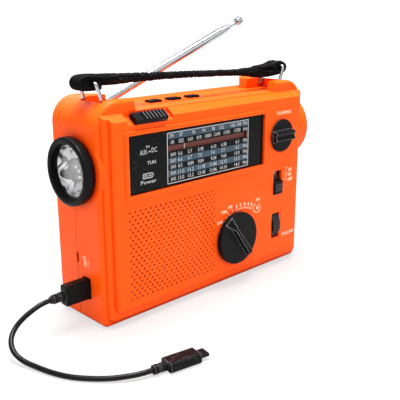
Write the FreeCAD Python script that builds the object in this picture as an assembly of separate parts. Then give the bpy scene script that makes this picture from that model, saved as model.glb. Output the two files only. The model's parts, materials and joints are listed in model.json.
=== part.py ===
import FreeCAD, Part
import math
import os

# Hand cranked emergency radio with a torch, a carry strap and a charging lead.
# Millimetres. X runs to the right of the front, Y into the case, Z up.
# The origin is the centre of the base, midway between the front and the back.

V = FreeCAD.Vector

# ---------------------------------------------------------------- driving dimensions
# case
case_width = 200.0
case_depth = 50.4
front_depth = 23.4          # from the origin forward to the front wall
deck_height = 141.0
shoulder_rise = 7.5
wall = 2.4
corner_radius = 17.0
foot_radius = 4.0
edge_round = 2.5
seam_y = 4.1
seam_reveal = 0.45
left_shoulder_length = 31.0
right_shoulder_length = 33.0
shoulder_lean = 1.5
shoulder_slant_y = 12.5     # where the slanting rear corner of a shoulder starts
slip = 0.3                  # gap beside a sliding or pressed piece
running = 0.05              # radial clearance of a shaft in its bore

# stepped front slabs with a sloping top edge
lower_step = 3.0
upper_step = 6.0
lower_slab_inset = 3.0      # from the end of the case to the slab's side
lower_slab_bottom = 4.0
upper_slab_inset = 7.2
upper_slab_bottom = 9.8
slab_corner = 4.5
slab_edge_round = 2.0
bevel_drop = 4.7            # from the deck down to the slope's front edge
bevel_lip = 0.5             # from the deck down to the slope's back edge

# display window
window_left_margin = 19.0
window_right_margin = 51.0
window_drop = 9.4           # below the slope's front edge
window_height = 39.0
window_rim = 3.1
rim_rise = 1.0
rim_corner = 4.0
panel_sunk = 1.2            # the panel's face below the slab's face
panel_thickness = 1.2
panel_flange = 2.0
flange_thickness = 1.2

# tuning drive
tuning_margin = 30.9        # from the end of the case to the shaft
tuning_knob_radius = 12.7
tuning_disc_thickness = 1.8
tuning_grip_rise = 4.2
tuning_grip_width = 7.0
tuning_grip_reach = 10.4
tuning_shaft_radius = 3.0
drum_radius = 6.5
drum_width = 3.0
dial_cord_radius = 0.3
pulley_margin = 11.0        # from the window's left edge to the pulley
slot_left_margin = 33.7
slot_right_margin = 19.0
slot_height = 4.0
pointer_start = 16.3        # from the slot's left end to the pointer

# band selector
band_margin = 81.7
band_z = 36.6
band_knob_radius = 19.9
band_disc_thickness = 4.2
band_grip_rise = 3.9
band_grip_width = 3.8
band_grip_angle = -53.5
band_grip_end = 16.4        # from the axis to the pointing end
band_grip_ramp = 8.2        # length of the ramp at the other end
band_shaft_radius = 3.0
knob_gap = 0.5

# three-position slide switch and volume wheel
mode_margin = 28.1
mode_width = 10.2
mode_height = 19.3
mode_cap_height = 10.5
mode_travel = 8.0
mode_cap_rise = 2.0
volume_margin = 29.5
volume_width = 9.5
volume_bottom = 24.5
volume_height = 20.8
volume_radius = 13.0
volume_rise = 2.4
volume_shaft_radius = 2.0
volume_step = 0.7           # moulded step beside the wheel

# speaker and grille
grille_margin = 18.8
grille_width = 74.5
speaker_radius = 28.5
speaker_depth = 18.0
grille_pitch_x = 4.38
grille_pitch_z = 2.72
grille_hole_radius = 0.85
grille_open_radius = 27.0

# torch on the left side
lamp_drop = 37.4            # below the deck
lamp_boss_radius = 26.0
boss_length = 12.0
bezel_radius = 22.3
bezel_opening = 17.7
bezel_rise = 8.4
lens_thickness = 1.6
reflector_depth = 17.0
lamp_cup_radius = 8.0
lamp_holder_radius = 20.9

# crank housing, crank and gear train on the right side
crank_drop = 32.0           # below the deck
crank_boss_radius = 26.3
crank_boss_rise = 8.5
crank_shaft_radius = 3.0
crank_length = 58.0
crank_arm_thickness = 4.2
crank_arm_wide = 10.0
crank_arm_narrow = 6.5
grip_radius = 5.6
grip_length = 33.0
gear_module = 0.8
drive_teeth = 42
idler_pinion_teeth = 12
idler_wheel_teeth = 36
rotor_teeth = 12
rotor_y = 7.0
gear_plate = 2.0
gear_room = 10.3            # between the two gearbox plates
generator_radius = 12.0
generator_length = 26.0

# top controls
lamp_slider_margin = 24.5
lamp_slider_length = 26.5
lamp_recess_margin = 19.2
lamp_recess_length = 37.8
lamp_recess_depth = 2.3
lamp_slider_rise = 1.8
lamp_slider_from = -2.3     # along the slope from the bevel's front edge
lamp_slider_to = 4.9
lamp_slider_travel = 4.5
button_centres = (-35.4, -17.4, 0.6)
button_size = (10.0, 6.5)
button_y = -0.6
button_rise = 1.6
button_travel = 0.7

# handle: two wire bails and a woven strap
bail_wire = 1.2
bail_front_y = -14.0
bail_rear_y = 5.0
bail_bend = 2.0
bail_height = 15.0
bail_lean = 19.0
hinge_drop = 4.0            # below the top of the shoulders
left_hinge_margin = 12.9
right_hinge_margin = 16.7
pocket_play = 1.6           # between a bail's leg and the end wall of its pocket
pocket_wall = 2.0
pocket_reach = 3.4          # beyond the hinge, towards the end of the case
loop_gap = 0.35

# telescopic antenna
antenna_margin = 16.3
antenna_drop = 13.0         # below the deck
antenna_stand_off = 4.0     # from the back wall to the tubes' axis
antenna_angle = 21.0
antenna_tube_radius = 3.25
antenna_wall = 0.4
antenna_reach = 179.2       # pivot to the tip ball, folded up
antenna_fork_reach = 12.0
antenna_neck = 5.2
antenna_ball_radius = 3.4
antenna_stud_radius = 2.0

# charging lead
plug_y = -5.1
plug_z = 24.0
plug_body = (20.0, 8.0, 14.0)
plug_shell = (11.5, 4.5, 12.0)
relief_length = 9.8
cable_radius = 1.65

# input port on the seam
input_z = 43.2
input_height = 7.6
input_width = 2.8

# battery compartment
cell_radius = 9.2
cell_length = 65.0
cell_z = 24.0
cell_end_play = 4.5         # room for a contact spring at each end
cell_side_play = 1.2
tub_wall = 1.6
cover_thickness = 2.0
cover_margin = 3.2

# board, posts and ferrite rod
board_y = -7.6
board_thickness = 1.6
post_radius = 3.2
screw_radius = 1.3
screw_head_radius = 2.7
screw_head_sunk = 8.0       # from the back face to the seat of a screw's head
ferrite_radius = 4.0

# ---------------------------------------------------------------- sizes worked out
front_y = -front_depth
back_y = case_depth - front_depth
half_width = case_width / 2
shoulder_height = deck_height + shoulder_rise
left_shoulder_end = -half_width + left_shoulder_length
right_shoulder_end = half_width - right_shoulder_length
lower_slab_half_width = half_width - lower_slab_inset
upper_slab_half_width = half_width - upper_slab_inset
lower_face_y = front_y - lower_step
face_y = front_y - upper_step
plate_inner_y = face_y + wall
inner_front_y = front_y + wall
inner_back_y = back_y - wall
bevel_front_z = deck_height - bevel_drop
bevel_back_z = deck_height - bevel_lip
bevel_slope = (bevel_back_z - bevel_front_z) / upper_step
bevel_angle = math.atan(bevel_slope)

window_left = -half_width + window_left_margin
window_right = half_width - window_right_margin
window_top = bevel_front_z - window_drop
window_bottom = window_top - window_height
tuning_x = half_width - tuning_margin
tuning_z = (window_bottom + window_top) / 2 + 0.4
pulley_x = window_left + pulley_margin
slot_left = window_left + slot_left_margin
slot_right = window_right - slot_right_margin
slot_bottom = tuning_z + drum_radius - 2.6
slot_top = slot_bottom + slot_height
pointer_x = slot_left + pointer_start

band_x = half_width - band_margin
volume_slot = (half_width - volume_margin - volume_width, half_width - volume_margin,
               volume_bottom, volume_bottom + volume_height)        # x from, x to, z from, z to
mode_z = (volume_slot[3] + tuning_z - tuning_knob_radius) / 2 + 0.15
mode_slot = (half_width - mode_margin - mode_width, half_width - mode_margin,
             mode_z - mode_height / 2, mode_z + mode_height / 2)

grille_left = -half_width + grille_margin
grille_right = grille_left + grille_width
grille_bottom = upper_slab_bottom + 7.6
grille_top = window_bottom - 8.1
speaker_x = (grille_left + grille_right) / 2
speaker_z = (grille_bottom + grille_top) / 2

lamp_z = deck_height - lamp_drop
lamp_mouth = bezel_opening + 2.0     # radius of the hole in the side wall
crank_z = deck_height - crank_drop
crank_boss_end = half_width + crank_boss_rise
gear_outer_x = half_width - wall
outer_plate_x = gear_outer_x - gear_plate + 0.2
plate_gap_x0 = outer_plate_x - gear_room
inner_plate_x = plate_gap_x0 - gear_plate

lamp_slider_left = -half_width + lamp_slider_margin
lamp_slider_right = lamp_slider_left + lamp_slider_length
lamp_recess = (-half_width + lamp_recess_margin, -half_width + lamp_recess_margin + lamp_recess_length)

hinge_z = shoulder_height - hinge_drop
left_hinge_x = -half_width + left_hinge_margin
right_hinge_x = half_width - right_hinge_margin
left_pocket_end = left_hinge_x - pocket_reach
right_pocket_end = right_hinge_x + pocket_reach
pocket_front_y = bail_front_y - pocket_play
pocket_back_y = bail_rear_y + pocket_play

antenna_y = back_y + antenna_stand_off
antenna_direction = V(math.cos(math.radians(antenna_angle)), 0, math.sin(math.radians(antenna_angle)))
antenna_normal = V(-antenna_direction.z, 0, antenna_direction.x)
antenna_pivot = V(-half_width + antenna_margin, antenna_y, deck_height - antenna_drop)

tub_half_length = cell_length / 2 + cell_end_play
tub_half_height = cell_radius + cell_side_play
cell_y = back_y - cover_thickness - 1.6 - cell_radius
tub_front_y = cell_y - cell_radius - 0.4
ferrite_y = back_y - 10.9
ferrite_z = deck_height - 10.0
saddle_places = (-48.0, 6.0)

button_board_top = deck_height - 9.4
button_board_thickness = 1.6
button_board = (button_centres[0] - 9.6, button_centres[2] + 9.4, -6.8, 3.6)
stem_x = (lamp_slider_left + lamp_slider_right) / 2
stem_width = 5.0
stem_y0 = front_y - 2.0
stem_y1 = front_y - 0.2
drum_y = plate_inner_y + 3.4
capacitor_front_y = plate_inner_y + 9.0
band_switch_front_y = plate_inner_y + 7.0
pulley_pin_radius = 1.5

# screw posts: low corners, beside the torch and the gearbox, and under the deck
post_x = half_width - 8.5
side_post_z = ((lamp_z - lamp_holder_radius) + (input_z + input_height / 2 + 3.2)) / 2 + 0.4
case_posts = [(-post_x, 9.5), (post_x, 9.5), (-post_x, side_post_z), (post_x, crank_z - 69.0),
              (left_shoulder_end - 6.0, deck_height - 8.5), (56.0, deck_height - 8.0)]
board_left = -half_width + 24.0
board_right = half_width - 18.0
board_top = deck_height - 13.0
board_low = window_bottom - 8.9         # lower edge of the part above the speaker
board_posts = [(board_left + 4.0, board_low + 3.6), (-5.0, 18.0), (board_right - 32.0, 18.0),
               (board_right - 4.0, board_low + 10.0), (-5.0, board_low + 1.0)]
post_meet_y = 2.0
counterbore_y = back_y - screw_head_sunk


# ---------------------------------------------------------------- helpers
def box(x0, x1, y0, y1, z0, z1):
    """Box between two corners."""
    return Part.makeBox(x1 - x0, y1 - y0, z1 - z0, V(x0, y0, z0))


def rod(radius, start, end):
    """Solid cylinder from start to end."""
    axis = end - start
    return Part.makeCylinder(radius, axis.Length, start, axis)


def ring(outer, inner, start, end):
    """Tube from start to end."""
    reach = (end - start).normalize()
    return rod(outer, start, end).cut(rod(inner, start - reach, end + reach))


def corner_wire(corners, place):
    """Closed wire through (u, v, radius) corners, each rounded, laid in space by place(u, v)."""
    count = len(corners)
    starts = []
    middles = []
    ends = []
    for i in range(count):
        here = V(corners[i][0], corners[i][1], 0)
        radius = corners[i][2]
        before = V(corners[i - 1][0], corners[i - 1][1], 0) - here
        after = V(corners[(i + 1) % count][0], corners[(i + 1) % count][1], 0) - here
        before.normalize()
        after.normalize()
        if radius <= 0:
            starts.append(here)
            middles.append(None)
            ends.append(here)
            continue
        half = before.getAngle(after) / 2
        reach = radius / math.tan(half)
        middle_line = (before + after).normalize()
        centre = here + middle_line * (radius / math.sin(half))
        starts.append(here + before * reach)
        middles.append(centre - middle_line * radius)
        ends.append(here + after * reach)
    edges = []
    for i in range(count):
        if middles[i] is not None:
            points = [place(p.x, p.y) for p in (starts[i], middles[i], ends[i])]
            edges.append(Part.Arc(*points).toShape())
        follower = starts[(i + 1) % count]
        if (follower - ends[i]).Length > 1e-6:
            edges.append(Part.makeLine(place(ends[i].x, ends[i].y), place(follower.x, follower.y)))
    return Part.Wire(edges)


def plate_xz(corners, y0, y1):
    """Plate with an outline of (x, z, radius) corners, from y0 to y1."""
    face = Part.Face(corner_wire(corners, lambda x, z: V(x, y0, z)))
    return face.extrude(V(0, y1 - y0, 0))


def plate_yz(corners, x0, x1):
    """Plate with an outline of (y, z, radius) corners, from x0 to x1."""
    face = Part.Face(corner_wire(corners, lambda y, z: V(x0, y, z)))
    return face.extrude(V(x1 - x0, 0, 0))


def plate_xy(corners, z0, z1):
    """Plate with an outline of (x, y, radius) corners, from z0 to z1."""
    face = Part.Face(corner_wire(corners, lambda x, y: V(x, y, z0)))
    return face.extrude(V(0, 0, z1 - z0))


def rectangle(u0, u1, v0, v1, radius):
    """Corners of a rounded rectangle."""
    return [(u0, v0, radius), (u1, v0, radius), (u1, v1, radius), (u0, v1, radius)]


def turned(profile, origin, axis):
    """Solid turned about an axis from a closed profile of (along, radius) points."""
    points = [V(along, radius, 0) for along, radius in profile]
    face = Part.Face(Part.makePolygon(points + [points[0]]))
    solid = face.revolve(V(0, 0, 0), V(1, 0, 0), 360)
    solid.Placement = FreeCAD.Placement(origin, FreeCAD.Rotation(V(1, 0, 0), axis))
    return solid


def rounded_edges(solid, radius, chosen):
    """Solid with the edges that chosen(edge) picks rounded off."""
    return solid.makeFillet(radius, [edge for edge in solid.Edges if chosen(edge)])


def on_plane(axis, value):
    """Test for edges that lie in the plane axis = value."""
    def test(edge):
        return all(abs(getattr(vertex.Point, axis) - value) < 1e-4 for vertex in edge.Vertexes)
    return test


def joined(first, *others):
    """First solid fused with the others, with its split faces merged."""
    return first.multiFuse(list(others)).removeSplitter()


# ---------------------------------------------------------------- case
def bevel_z(y, depth=0.0):
    """Height of the sloping top edge at y, or of a plane that lies depth below it."""
    return bevel_front_z + (y - face_y) * bevel_slope - depth / math.cos(bevel_angle)


def above_bevel(depth, x0, x1, back=front_y):
    """Space above the sloping top edge, or above a plane that lies depth below it."""
    low = face_y - 20
    high = deck_height + 30
    corners = [(low, bevel_z(low, depth), 0), (back, bevel_z(back, depth), 0),
               (back, high, 0), (low, high, 0)]
    return plate_yz(corners, x0, x1)


def deck_space(inset):
    """Space above the deck and between the shoulders with their slanting rear corners, grown by inset."""
    left = left_shoulder_end - inset
    right = right_shoulder_end + inset
    floor = deck_height - inset
    rise = 20.0
    lean = shoulder_lean * rise / shoulder_rise
    corners = [(left, floor, 0), (right, floor, 0),
               (right + lean, floor + rise, 0), (left - lean, floor + rise, 0)]
    middle = plate_xz(corners, -60, 60)
    slants = []
    for side, end in ((-1, left_shoulder_end), (1, right_shoulder_end)):
        start = shoulder_slant_y - inset * math.sqrt(2)
        corners = [(end - side * 5, start - 5, 0), (end + side * 60, start + 60, 0),
                   (end - side * 5, start + 60, 0)]
        slants.append(plate_xy(corners, floor, floor + rise))
    return joined(middle, *slants)


def case_block(inset, y0, y1):
    """The case's block, its outline taken in by inset."""
    side = half_width - inset
    top = corner_radius - inset
    foot = max(foot_radius - inset, 0.8)
    corners = [(-side, inset, foot), (side, inset, foot),
               (side, shoulder_height - inset, top), (-side, shoulder_height - inset, top)]
    return plate_xz(corners, y0, y1)


def slab_block(half, bottom, face):
    """One step of the front, rounded round its face, under the sloping top edge."""
    top = deck_height + 20
    slab = plate_xz([(-half, bottom, slab_corner), (half, bottom, slab_corner),
                     (half, top, 0), (-half, top, 0)], face, front_y)
    slab = rounded_edges(slab, slab_edge_round, on_plane("y", face))
    return slab.cut(above_bevel(0, -120, 120))


def case_outer():
    """Outside of the closed case."""
    block = rounded_edges(case_block(0, front_y, back_y), edge_round,
                          lambda edge: on_plane("y", front_y)(edge) or on_plane("y", back_y)(edge))
    block = block.cut(deck_space(0))
    lamp_boss = rod(lamp_boss_radius, V(-half_width, 0, lamp_z), V(-half_width + boss_length, 0, lamp_z))
    crank_boss = rod(crank_boss_radius, V(half_width - boss_length, 0, crank_z),
                     V(crank_boss_end, 0, crank_z))
    crank_boss = rounded_edges(crank_boss, 2.5, on_plane("x", crank_boss_end))
    rim = plate_xz(rectangle(window_left - window_rim, window_right + window_rim, window_bottom - window_rim,
                             window_top + window_rim, rim_corner), face_y - rim_rise, face_y)
    rim = rounded_edges(rim, 0.8, on_plane("y", face_y - rim_rise))
    lower = slab_block(lower_slab_half_width, lower_slab_bottom, lower_face_y)
    upper = slab_block(upper_slab_half_width, upper_slab_bottom, face_y)
    return joined(block, lower, upper, lamp_boss, crank_boss, rim)


def case_cavity():
    """Hollow inside the case's walls."""
    hollow = case_block(wall, inner_front_y, inner_back_y).cut(deck_space(wall))
    half = upper_slab_half_width - wall
    front = plate_xz(rectangle(-half, half, upper_slab_bottom + wall, deck_height + 20, 2.0), plate_inner_y,
                     inner_front_y + 1)
    front = front.cut(above_bevel(wall, -120, 120, back=inner_front_y + 2))
    lamp = rod(lamp_boss_radius - wall, V(-half_width + wall, 0, lamp_z),
               V(-half_width + boss_length - wall, 0, lamp_z))
    crank = rod(crank_boss_radius - wall, V(half_width - boss_length + wall, 0, crank_z),
                V(crank_boss_end - wall, 0, crank_z))
    return joined(hollow, front, lamp, crank)


def pocket_blocks():
    """Walls round the two handle pockets."""
    front = pocket_front_y - pocket_wall
    back = pocket_back_y + pocket_wall
    floor = deck_height - wall
    left = box(left_pocket_end - pocket_wall, left_shoulder_end, front, back, floor, shoulder_height - 1)
    right = box(right_shoulder_end, right_pocket_end + pocket_wall, front, back, floor, shoulder_height - 1)
    return [left.cut(deck_space(0)), right.cut(deck_space(0))]


def pocket_spaces():
    """The two handle pockets, open to the top and to the deck."""
    top = shoulder_height + 10
    left = box(left_pocket_end, left_shoulder_end + 4, pocket_front_y, pocket_back_y, deck_height, top)
    right = box(right_shoulder_end - 4, right_pocket_end, pocket_front_y, pocket_back_y, deck_height, top)
    return [left, right]


def hinge_holes():
    """Holes in the pocket walls for the ends of the wire bails."""
    holes = []
    for x in (left_hinge_x, right_hinge_x):
        holes.append(rod(bail_wire + running, V(x, pocket_front_y - pocket_wall - 1.5, hinge_z),
                         V(x, pocket_back_y + pocket_wall + 1.5, hinge_z)))
    return holes


def side_openings():
    """Openings in the side walls for the torch, the crank shaft and the two sockets."""
    lamp = rod(lamp_mouth, V(-half_width - 2, 0, lamp_z), V(-half_width + wall + 1, 0, lamp_z))
    crank = rod(crank_shaft_radius + 1.0, V(crank_boss_end - wall - 1, 0, crank_z),
                V(crank_boss_end + 1, 0, crank_z))
    width = plug_body[1] + 1.0
    height = plug_body[2] + 1.2
    socket = box(-half_width - 1, -half_width + wall + 1, plug_y - width / 2, plug_y + width / 2,
                 plug_z - height / 2, plug_z + height / 2)
    port = plate_yz(rectangle(seam_y - input_width / 2, seam_y + input_width / 2, input_z - input_height / 2,
                              input_z + input_height / 2, 1.0), -half_width - 1, -half_width + wall + 1)
    return [lamp, crank, socket, port]


def lamp_recess_block(x0, x1, top_depth, bottom_depth):
    """Slice of the case between two planes that lie under the sloping top edge."""
    upper = above_bevel(bottom_depth, x0, x1, back=inner_front_y - 0.2)
    return upper.cut(above_bevel(top_depth, x0 - 1, x1 + 1, back=inner_front_y))


def grille_holes():
    """Six-sided sound holes in staggered rows, inside the speaker's circle."""
    holes = []
    rows = int((grille_top - grille_bottom) / grille_pitch_z) + 1
    columns = int((grille_right - grille_left) / grille_pitch_x) + 1
    for row in range(rows):
        z = grille_bottom + row * grille_pitch_z
        shift = grille_pitch_x / 2 * (row % 2)
        for column in range(columns):
            x = grille_left + shift + column * grille_pitch_x
            if math.hypot(x - speaker_x, z - speaker_z) > grille_open_radius:
                continue
            corners = []
            for k in range(6):
                angle = math.radians(60 * k)
                corners.append(V(x + grille_hole_radius * math.cos(angle), face_y - 1,
                                 z + grille_hole_radius * math.sin(angle)))
            face = Part.Face(Part.makePolygon(corners + [corners[0]]))
            holes.append(face.extrude(V(0, wall + 2, 0)))
    return holes


def front_openings():
    """Openings in the front for the window, the knobs, the switch and the wheel."""
    y0 = face_y - 3
    y1 = plate_inner_y + 1
    cuts = [plate_xz(rectangle(window_left, window_right, window_bottom, window_top, 0.8), y0, y1)]
    cuts.append(rod(tuning_shaft_radius + 0.6, V(tuning_x, y0, tuning_z), V(tuning_x, y1, tuning_z)))
    cuts.append(rod(band_shaft_radius + 0.6, V(band_x, y0, band_z), V(band_x, y1, band_z)))
    for x0, x1, z0, z1 in (mode_slot, volume_slot):
        cuts.append(plate_xz(rectangle(x0, x1, z0, z1, 0.6), y0, y1))
    step = volume_slot[1] + 1.1
    cuts.append(box(step, step + volume_step, y0, face_y + 0.4, volume_slot[2] - 4, volume_slot[3] + 4))
    return cuts


def deck_openings():
    """Openings in the deck for the three buttons."""
    cuts = []
    for x in button_centres:
        half_x = button_size[0] / 2 + slip
        half_y = button_size[1] / 2 + slip
        cuts.append(box(x - half_x, x + half_x, button_y - half_y, button_y + half_y,
                        deck_height - wall - 1, deck_height + 1))
    return cuts


def make_case():
    """Front shell and back shell."""
    shell = case_outer().cut(case_cavity())
    pockets = [block.common(case_block(0.5, inner_front_y, inner_back_y)) for block in pocket_blocks()]
    shell = joined(shell, *pockets)
    shell = shell.cut(Part.makeCompound(pocket_spaces() + hinge_holes() + side_openings()))
    front = shell.common(box(-150, 150, -80, seam_y, -10, 200))
    back = shell.common(box(-150, 150, seam_y, 80, -10, 200))

    # front shell: recess floor of the torch slider, posts and openings
    floor = lamp_recess_block(lamp_recess[0] - 2, lamp_recess[1] + 2, lamp_recess_depth - 0.1,
                              lamp_recess_depth + 2.0)
    half = upper_slab_half_width - wall
    floor = floor.common(box(-half, half, plate_inner_y - 1, inner_front_y,
                             deck_height - 40, deck_height + 9))
    posts = [floor]
    for x, z in case_posts:
        start = plate_inner_y - 0.5 if abs(x) < upper_slab_half_width - wall - post_radius else front_y + 0.5
        posts.append(rod(post_radius, V(x, start, z), V(x, post_meet_y, z)))
    for x, z in board_posts:
        posts.append(rod(2.4, V(x, plate_inner_y - 0.5, z), V(x, board_y, z)))
    for x in ((button_centres[0] + button_centres[1]) / 2, (button_centres[1] + button_centres[2]) / 2):
        posts.append(rod(1.8, V(x, button_y, button_board_top), V(x, button_y, deck_height - wall + 0.5)))
    front = joined(front, *posts)
    recess = above_bevel(lamp_recess_depth, *lamp_recess)
    stem_slot = box(stem_x - stem_width / 2 - lamp_slider_travel - slip, stem_x + stem_width / 2
                    + lamp_slider_travel + slip, stem_y0 - slip, stem_y1 + slip,
                    bevel_front_z - 8.3, bevel_back_z + 1.5)
    cuts = [recess, stem_slot] + front_openings() + deck_openings() + grille_holes()
    for x, z in case_posts:
        cuts.append(rod(screw_radius, V(x, -6, z), V(x, post_meet_y + 1, z)))
    front = front.cut(Part.makeCompound(cuts)).removeSplitter()

    # back shell: screw posts, battery tub, rod saddles and the reveal along the seam
    adds = []
    for x, z in case_posts:
        adds.append(rod(post_radius + 1.0, V(x, post_meet_y, z), V(x, back_y - 0.5, z)).common(
            case_block(0.4, -30, 30)))
    tub = cell_tub(tub_wall)
    adds.append(tub)
    for x in saddle_places:
        adds.append(box(x - 1.5, x + 1.5, ferrite_y - 1.5, inner_back_y + 0.5, ferrite_z - 5, ferrite_z + 5))
    back = joined(back, *adds)
    cuts = [cell_tub(0), cover_opening()]
    cuts.append(rod(ferrite_radius, V(saddle_places[0] - 5, ferrite_y, ferrite_z),
                    V(saddle_places[1] + 5, ferrite_y, ferrite_z)))
    for x, z in case_posts:
        cuts.append(rod(screw_radius + 0.2, V(x, 0, z), V(x, counterbore_y + 1, z)))
        cuts.append(rod(screw_head_radius + slip, V(x, counterbore_y, z), V(x, back_y + 1, z)))
    stud = antenna_pivot
    cuts.append(rod(antenna_stud_radius, V(stud.x, inner_back_y - 6, stud.z), V(stud.x, back_y + 6, stud.z)))
    reveal = case_block(-5, seam_y, seam_y + seam_reveal).cut(case_block(seam_reveal, seam_y - 1, seam_y + 1))
    for side, z, radius in ((-1, lamp_z, lamp_boss_radius), (1, crank_z, crank_boss_radius + 3)):
        x = side * half_width
        reveal = reveal.cut(box(x - 20, x + 20, -30, 30, z - radius, z + radius))
    back = back.cut(Part.makeCompound(cuts)).cut(reveal).removeSplitter()
    return front, back


# ---------------------------------------------------------------- battery compartment

def cell_tub(thickness):
    """The battery tub's space, or with a thickness the block it is cut from."""
    return box(-tub_half_length - thickness, tub_half_length + thickness, tub_front_y - thickness,
               back_y - cover_thickness, cell_z - tub_half_height - thickness,
               cell_z + tub_half_height + thickness)


def cover_outline(gap):
    """Outline of the battery cover, taken in by gap."""
    half_x = tub_half_length + cover_margin - gap
    half_z = tub_half_height + cover_margin - gap
    return rectangle(-half_x, half_x, cell_z - half_z, cell_z + half_z, 2.0)


def cover_opening():
    """Sunk seat for the battery cover in the back wall."""
    return plate_xz(cover_outline(0), back_y - cover_thickness, back_y + 1)


def make_battery():
    """Cell, its two contact plates and the cover."""
    cell = turned([(0, 0), (0, 2.6), (1.5, 2.6), (1.5, cell_radius - 1), (2.2, cell_radius),
                   (cell_length - 0.8, cell_radius), (cell_length, cell_radius - 0.8), (cell_length, 0)],
                  V(cell_length / 2, cell_y, cell_z), V(-1, 0, 0))
    reach = tub_half_length
    plus = box(reach - 0.5, reach, cell_y - 6, cell_y + 6, cell_z - 6, cell_z + 6)
    tongue = box(cell_length / 2, reach - 0.5, cell_y - 2, cell_y + 2, cell_z + 1.5, cell_z + 2.1)
    plus = joined(plus, tongue)
    minus = box(-reach, -reach + 0.5, cell_y - 6, cell_y + 6, cell_z - 6, cell_z + 6)
    leaf = plate_xy([(-reach + 0.4, cell_y - 5.0, 0), (-reach + 0.9, cell_y - 5.0, 0),
                     (-cell_length / 2, cell_y, 0.6), (-reach + 0.9, cell_y + 5.0, 0),
                     (-reach + 0.4, cell_y + 5.0, 0), (-cell_length / 2 - 0.6, cell_y, 0.3)],
                    cell_z - 3, cell_z + 3)
    minus = joined(minus, leaf)
    cover = plate_xz(cover_outline(0.15), back_y - cover_thickness, back_y)
    grooves = []
    for k in range(4):
        x = tub_half_length - 6 + 2 * k
        grooves.append(box(x, x + 0.9, back_y - 0.6, back_y + 1, cell_z - 6, cell_z + 6))
    cover = cover.cut(Part.makeCompound(grooves))
    contacts = Part.makeCompound([plus, minus])
    return {"battery_cell": cell, "battery_contacts": contacts, "battery_cover": cover}


# ---------------------------------------------------------------- display and tuning
def make_display():
    """Dial panel with its slot, the strip behind the slot and the pointer."""
    front = face_y + panel_sunk
    back = front + panel_thickness
    gap = 0.15
    panel = plate_xz(rectangle(window_left + gap, window_right - gap, window_bottom + gap, window_top - gap,
                               0.6), front, back)
    grow = panel_flange
    flange = plate_xz(rectangle(window_left - grow, window_right + grow, window_bottom - grow,
                                window_top + grow, 1.0), back, back + flange_thickness)
    flange = flange.cut(plate_xz(rectangle(window_left + grow, window_right - grow, window_bottom + grow,
                                           window_top - grow, 1.0), back - 1, back + 5))
    slot = box(slot_left, slot_right, front - 1, back + 1, slot_bottom, slot_top)
    pin = joined(rod(pulley_pin_radius, V(pulley_x, back - 0.5, tuning_z),
                     V(pulley_x, drum_y + drum_width + slip + 1.0, tuning_z)),
                 rod(2.6, V(pulley_x, back - 0.5, tuning_z), V(pulley_x, drum_y - slip, tuning_z)),
                 rod(1.9, V(pulley_x, drum_y + drum_width + slip, tuning_z),
                     V(pulley_x, drum_y + drum_width + slip + 1.0, tuning_z)))
    panel = joined(panel, flange, pin).cut(slot)
    strip_front = back + 0.6
    strip_low = slot_bottom - 1.1
    strip_high = slot_top + 0.4
    strip = box(slot_left - 2.7, slot_right + 4, strip_front, strip_front + 0.5, strip_low, strip_high)
    legs = [box(slot_left - 2.7, slot_left - 1.2, back, strip_front, strip_low, strip_high),
            box(slot_right + 2.5, slot_right + 4, back, strip_front, strip_low, strip_high)]
    strip = joined(strip, *legs)
    cord_z = tuning_z + drum_radius
    cord_y = drum_y + drum_width / 2
    top = strip_high + 1.5
    needle = box(pointer_x - 0.4, pointer_x + 0.4, back + 0.12, back + 0.42, slot_bottom - 0.3, top)
    arm = box(pointer_x - 0.4, pointer_x + 0.4, back + 0.12, cord_y + 0.8, strip_high + 0.4, top)
    clip = box(pointer_x - 2.5, pointer_x + 2.5, cord_y - 1.0, cord_y + 1.0, cord_z - 1.0, top)
    pointer = joined(needle, arm, clip)
    pointer = pointer.cut(rod(dial_cord_radius + 0.2, V(pointer_x - 5, cord_y, cord_z),
                              V(pointer_x + 5, cord_y, cord_z)))
    return {"dial_panel": panel, "dial_strip": strip, "dial_pointer": pointer}


def grooved_wheel(x, bore):
    """Drum or pulley with a rounded groove for the dial cord."""
    rim = drum_radius + 0.9
    floor = drum_radius - dial_cord_radius - 0.05
    profile = [(0, bore), (0, rim), (0.5, rim), (1.1, floor), (drum_width - 1.1, floor),
               (drum_width - 0.5, rim), (drum_width, rim), (drum_width, bore)]
    return turned(profile, V(x, drum_y, tuning_z), V(0, 1, 0))


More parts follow.
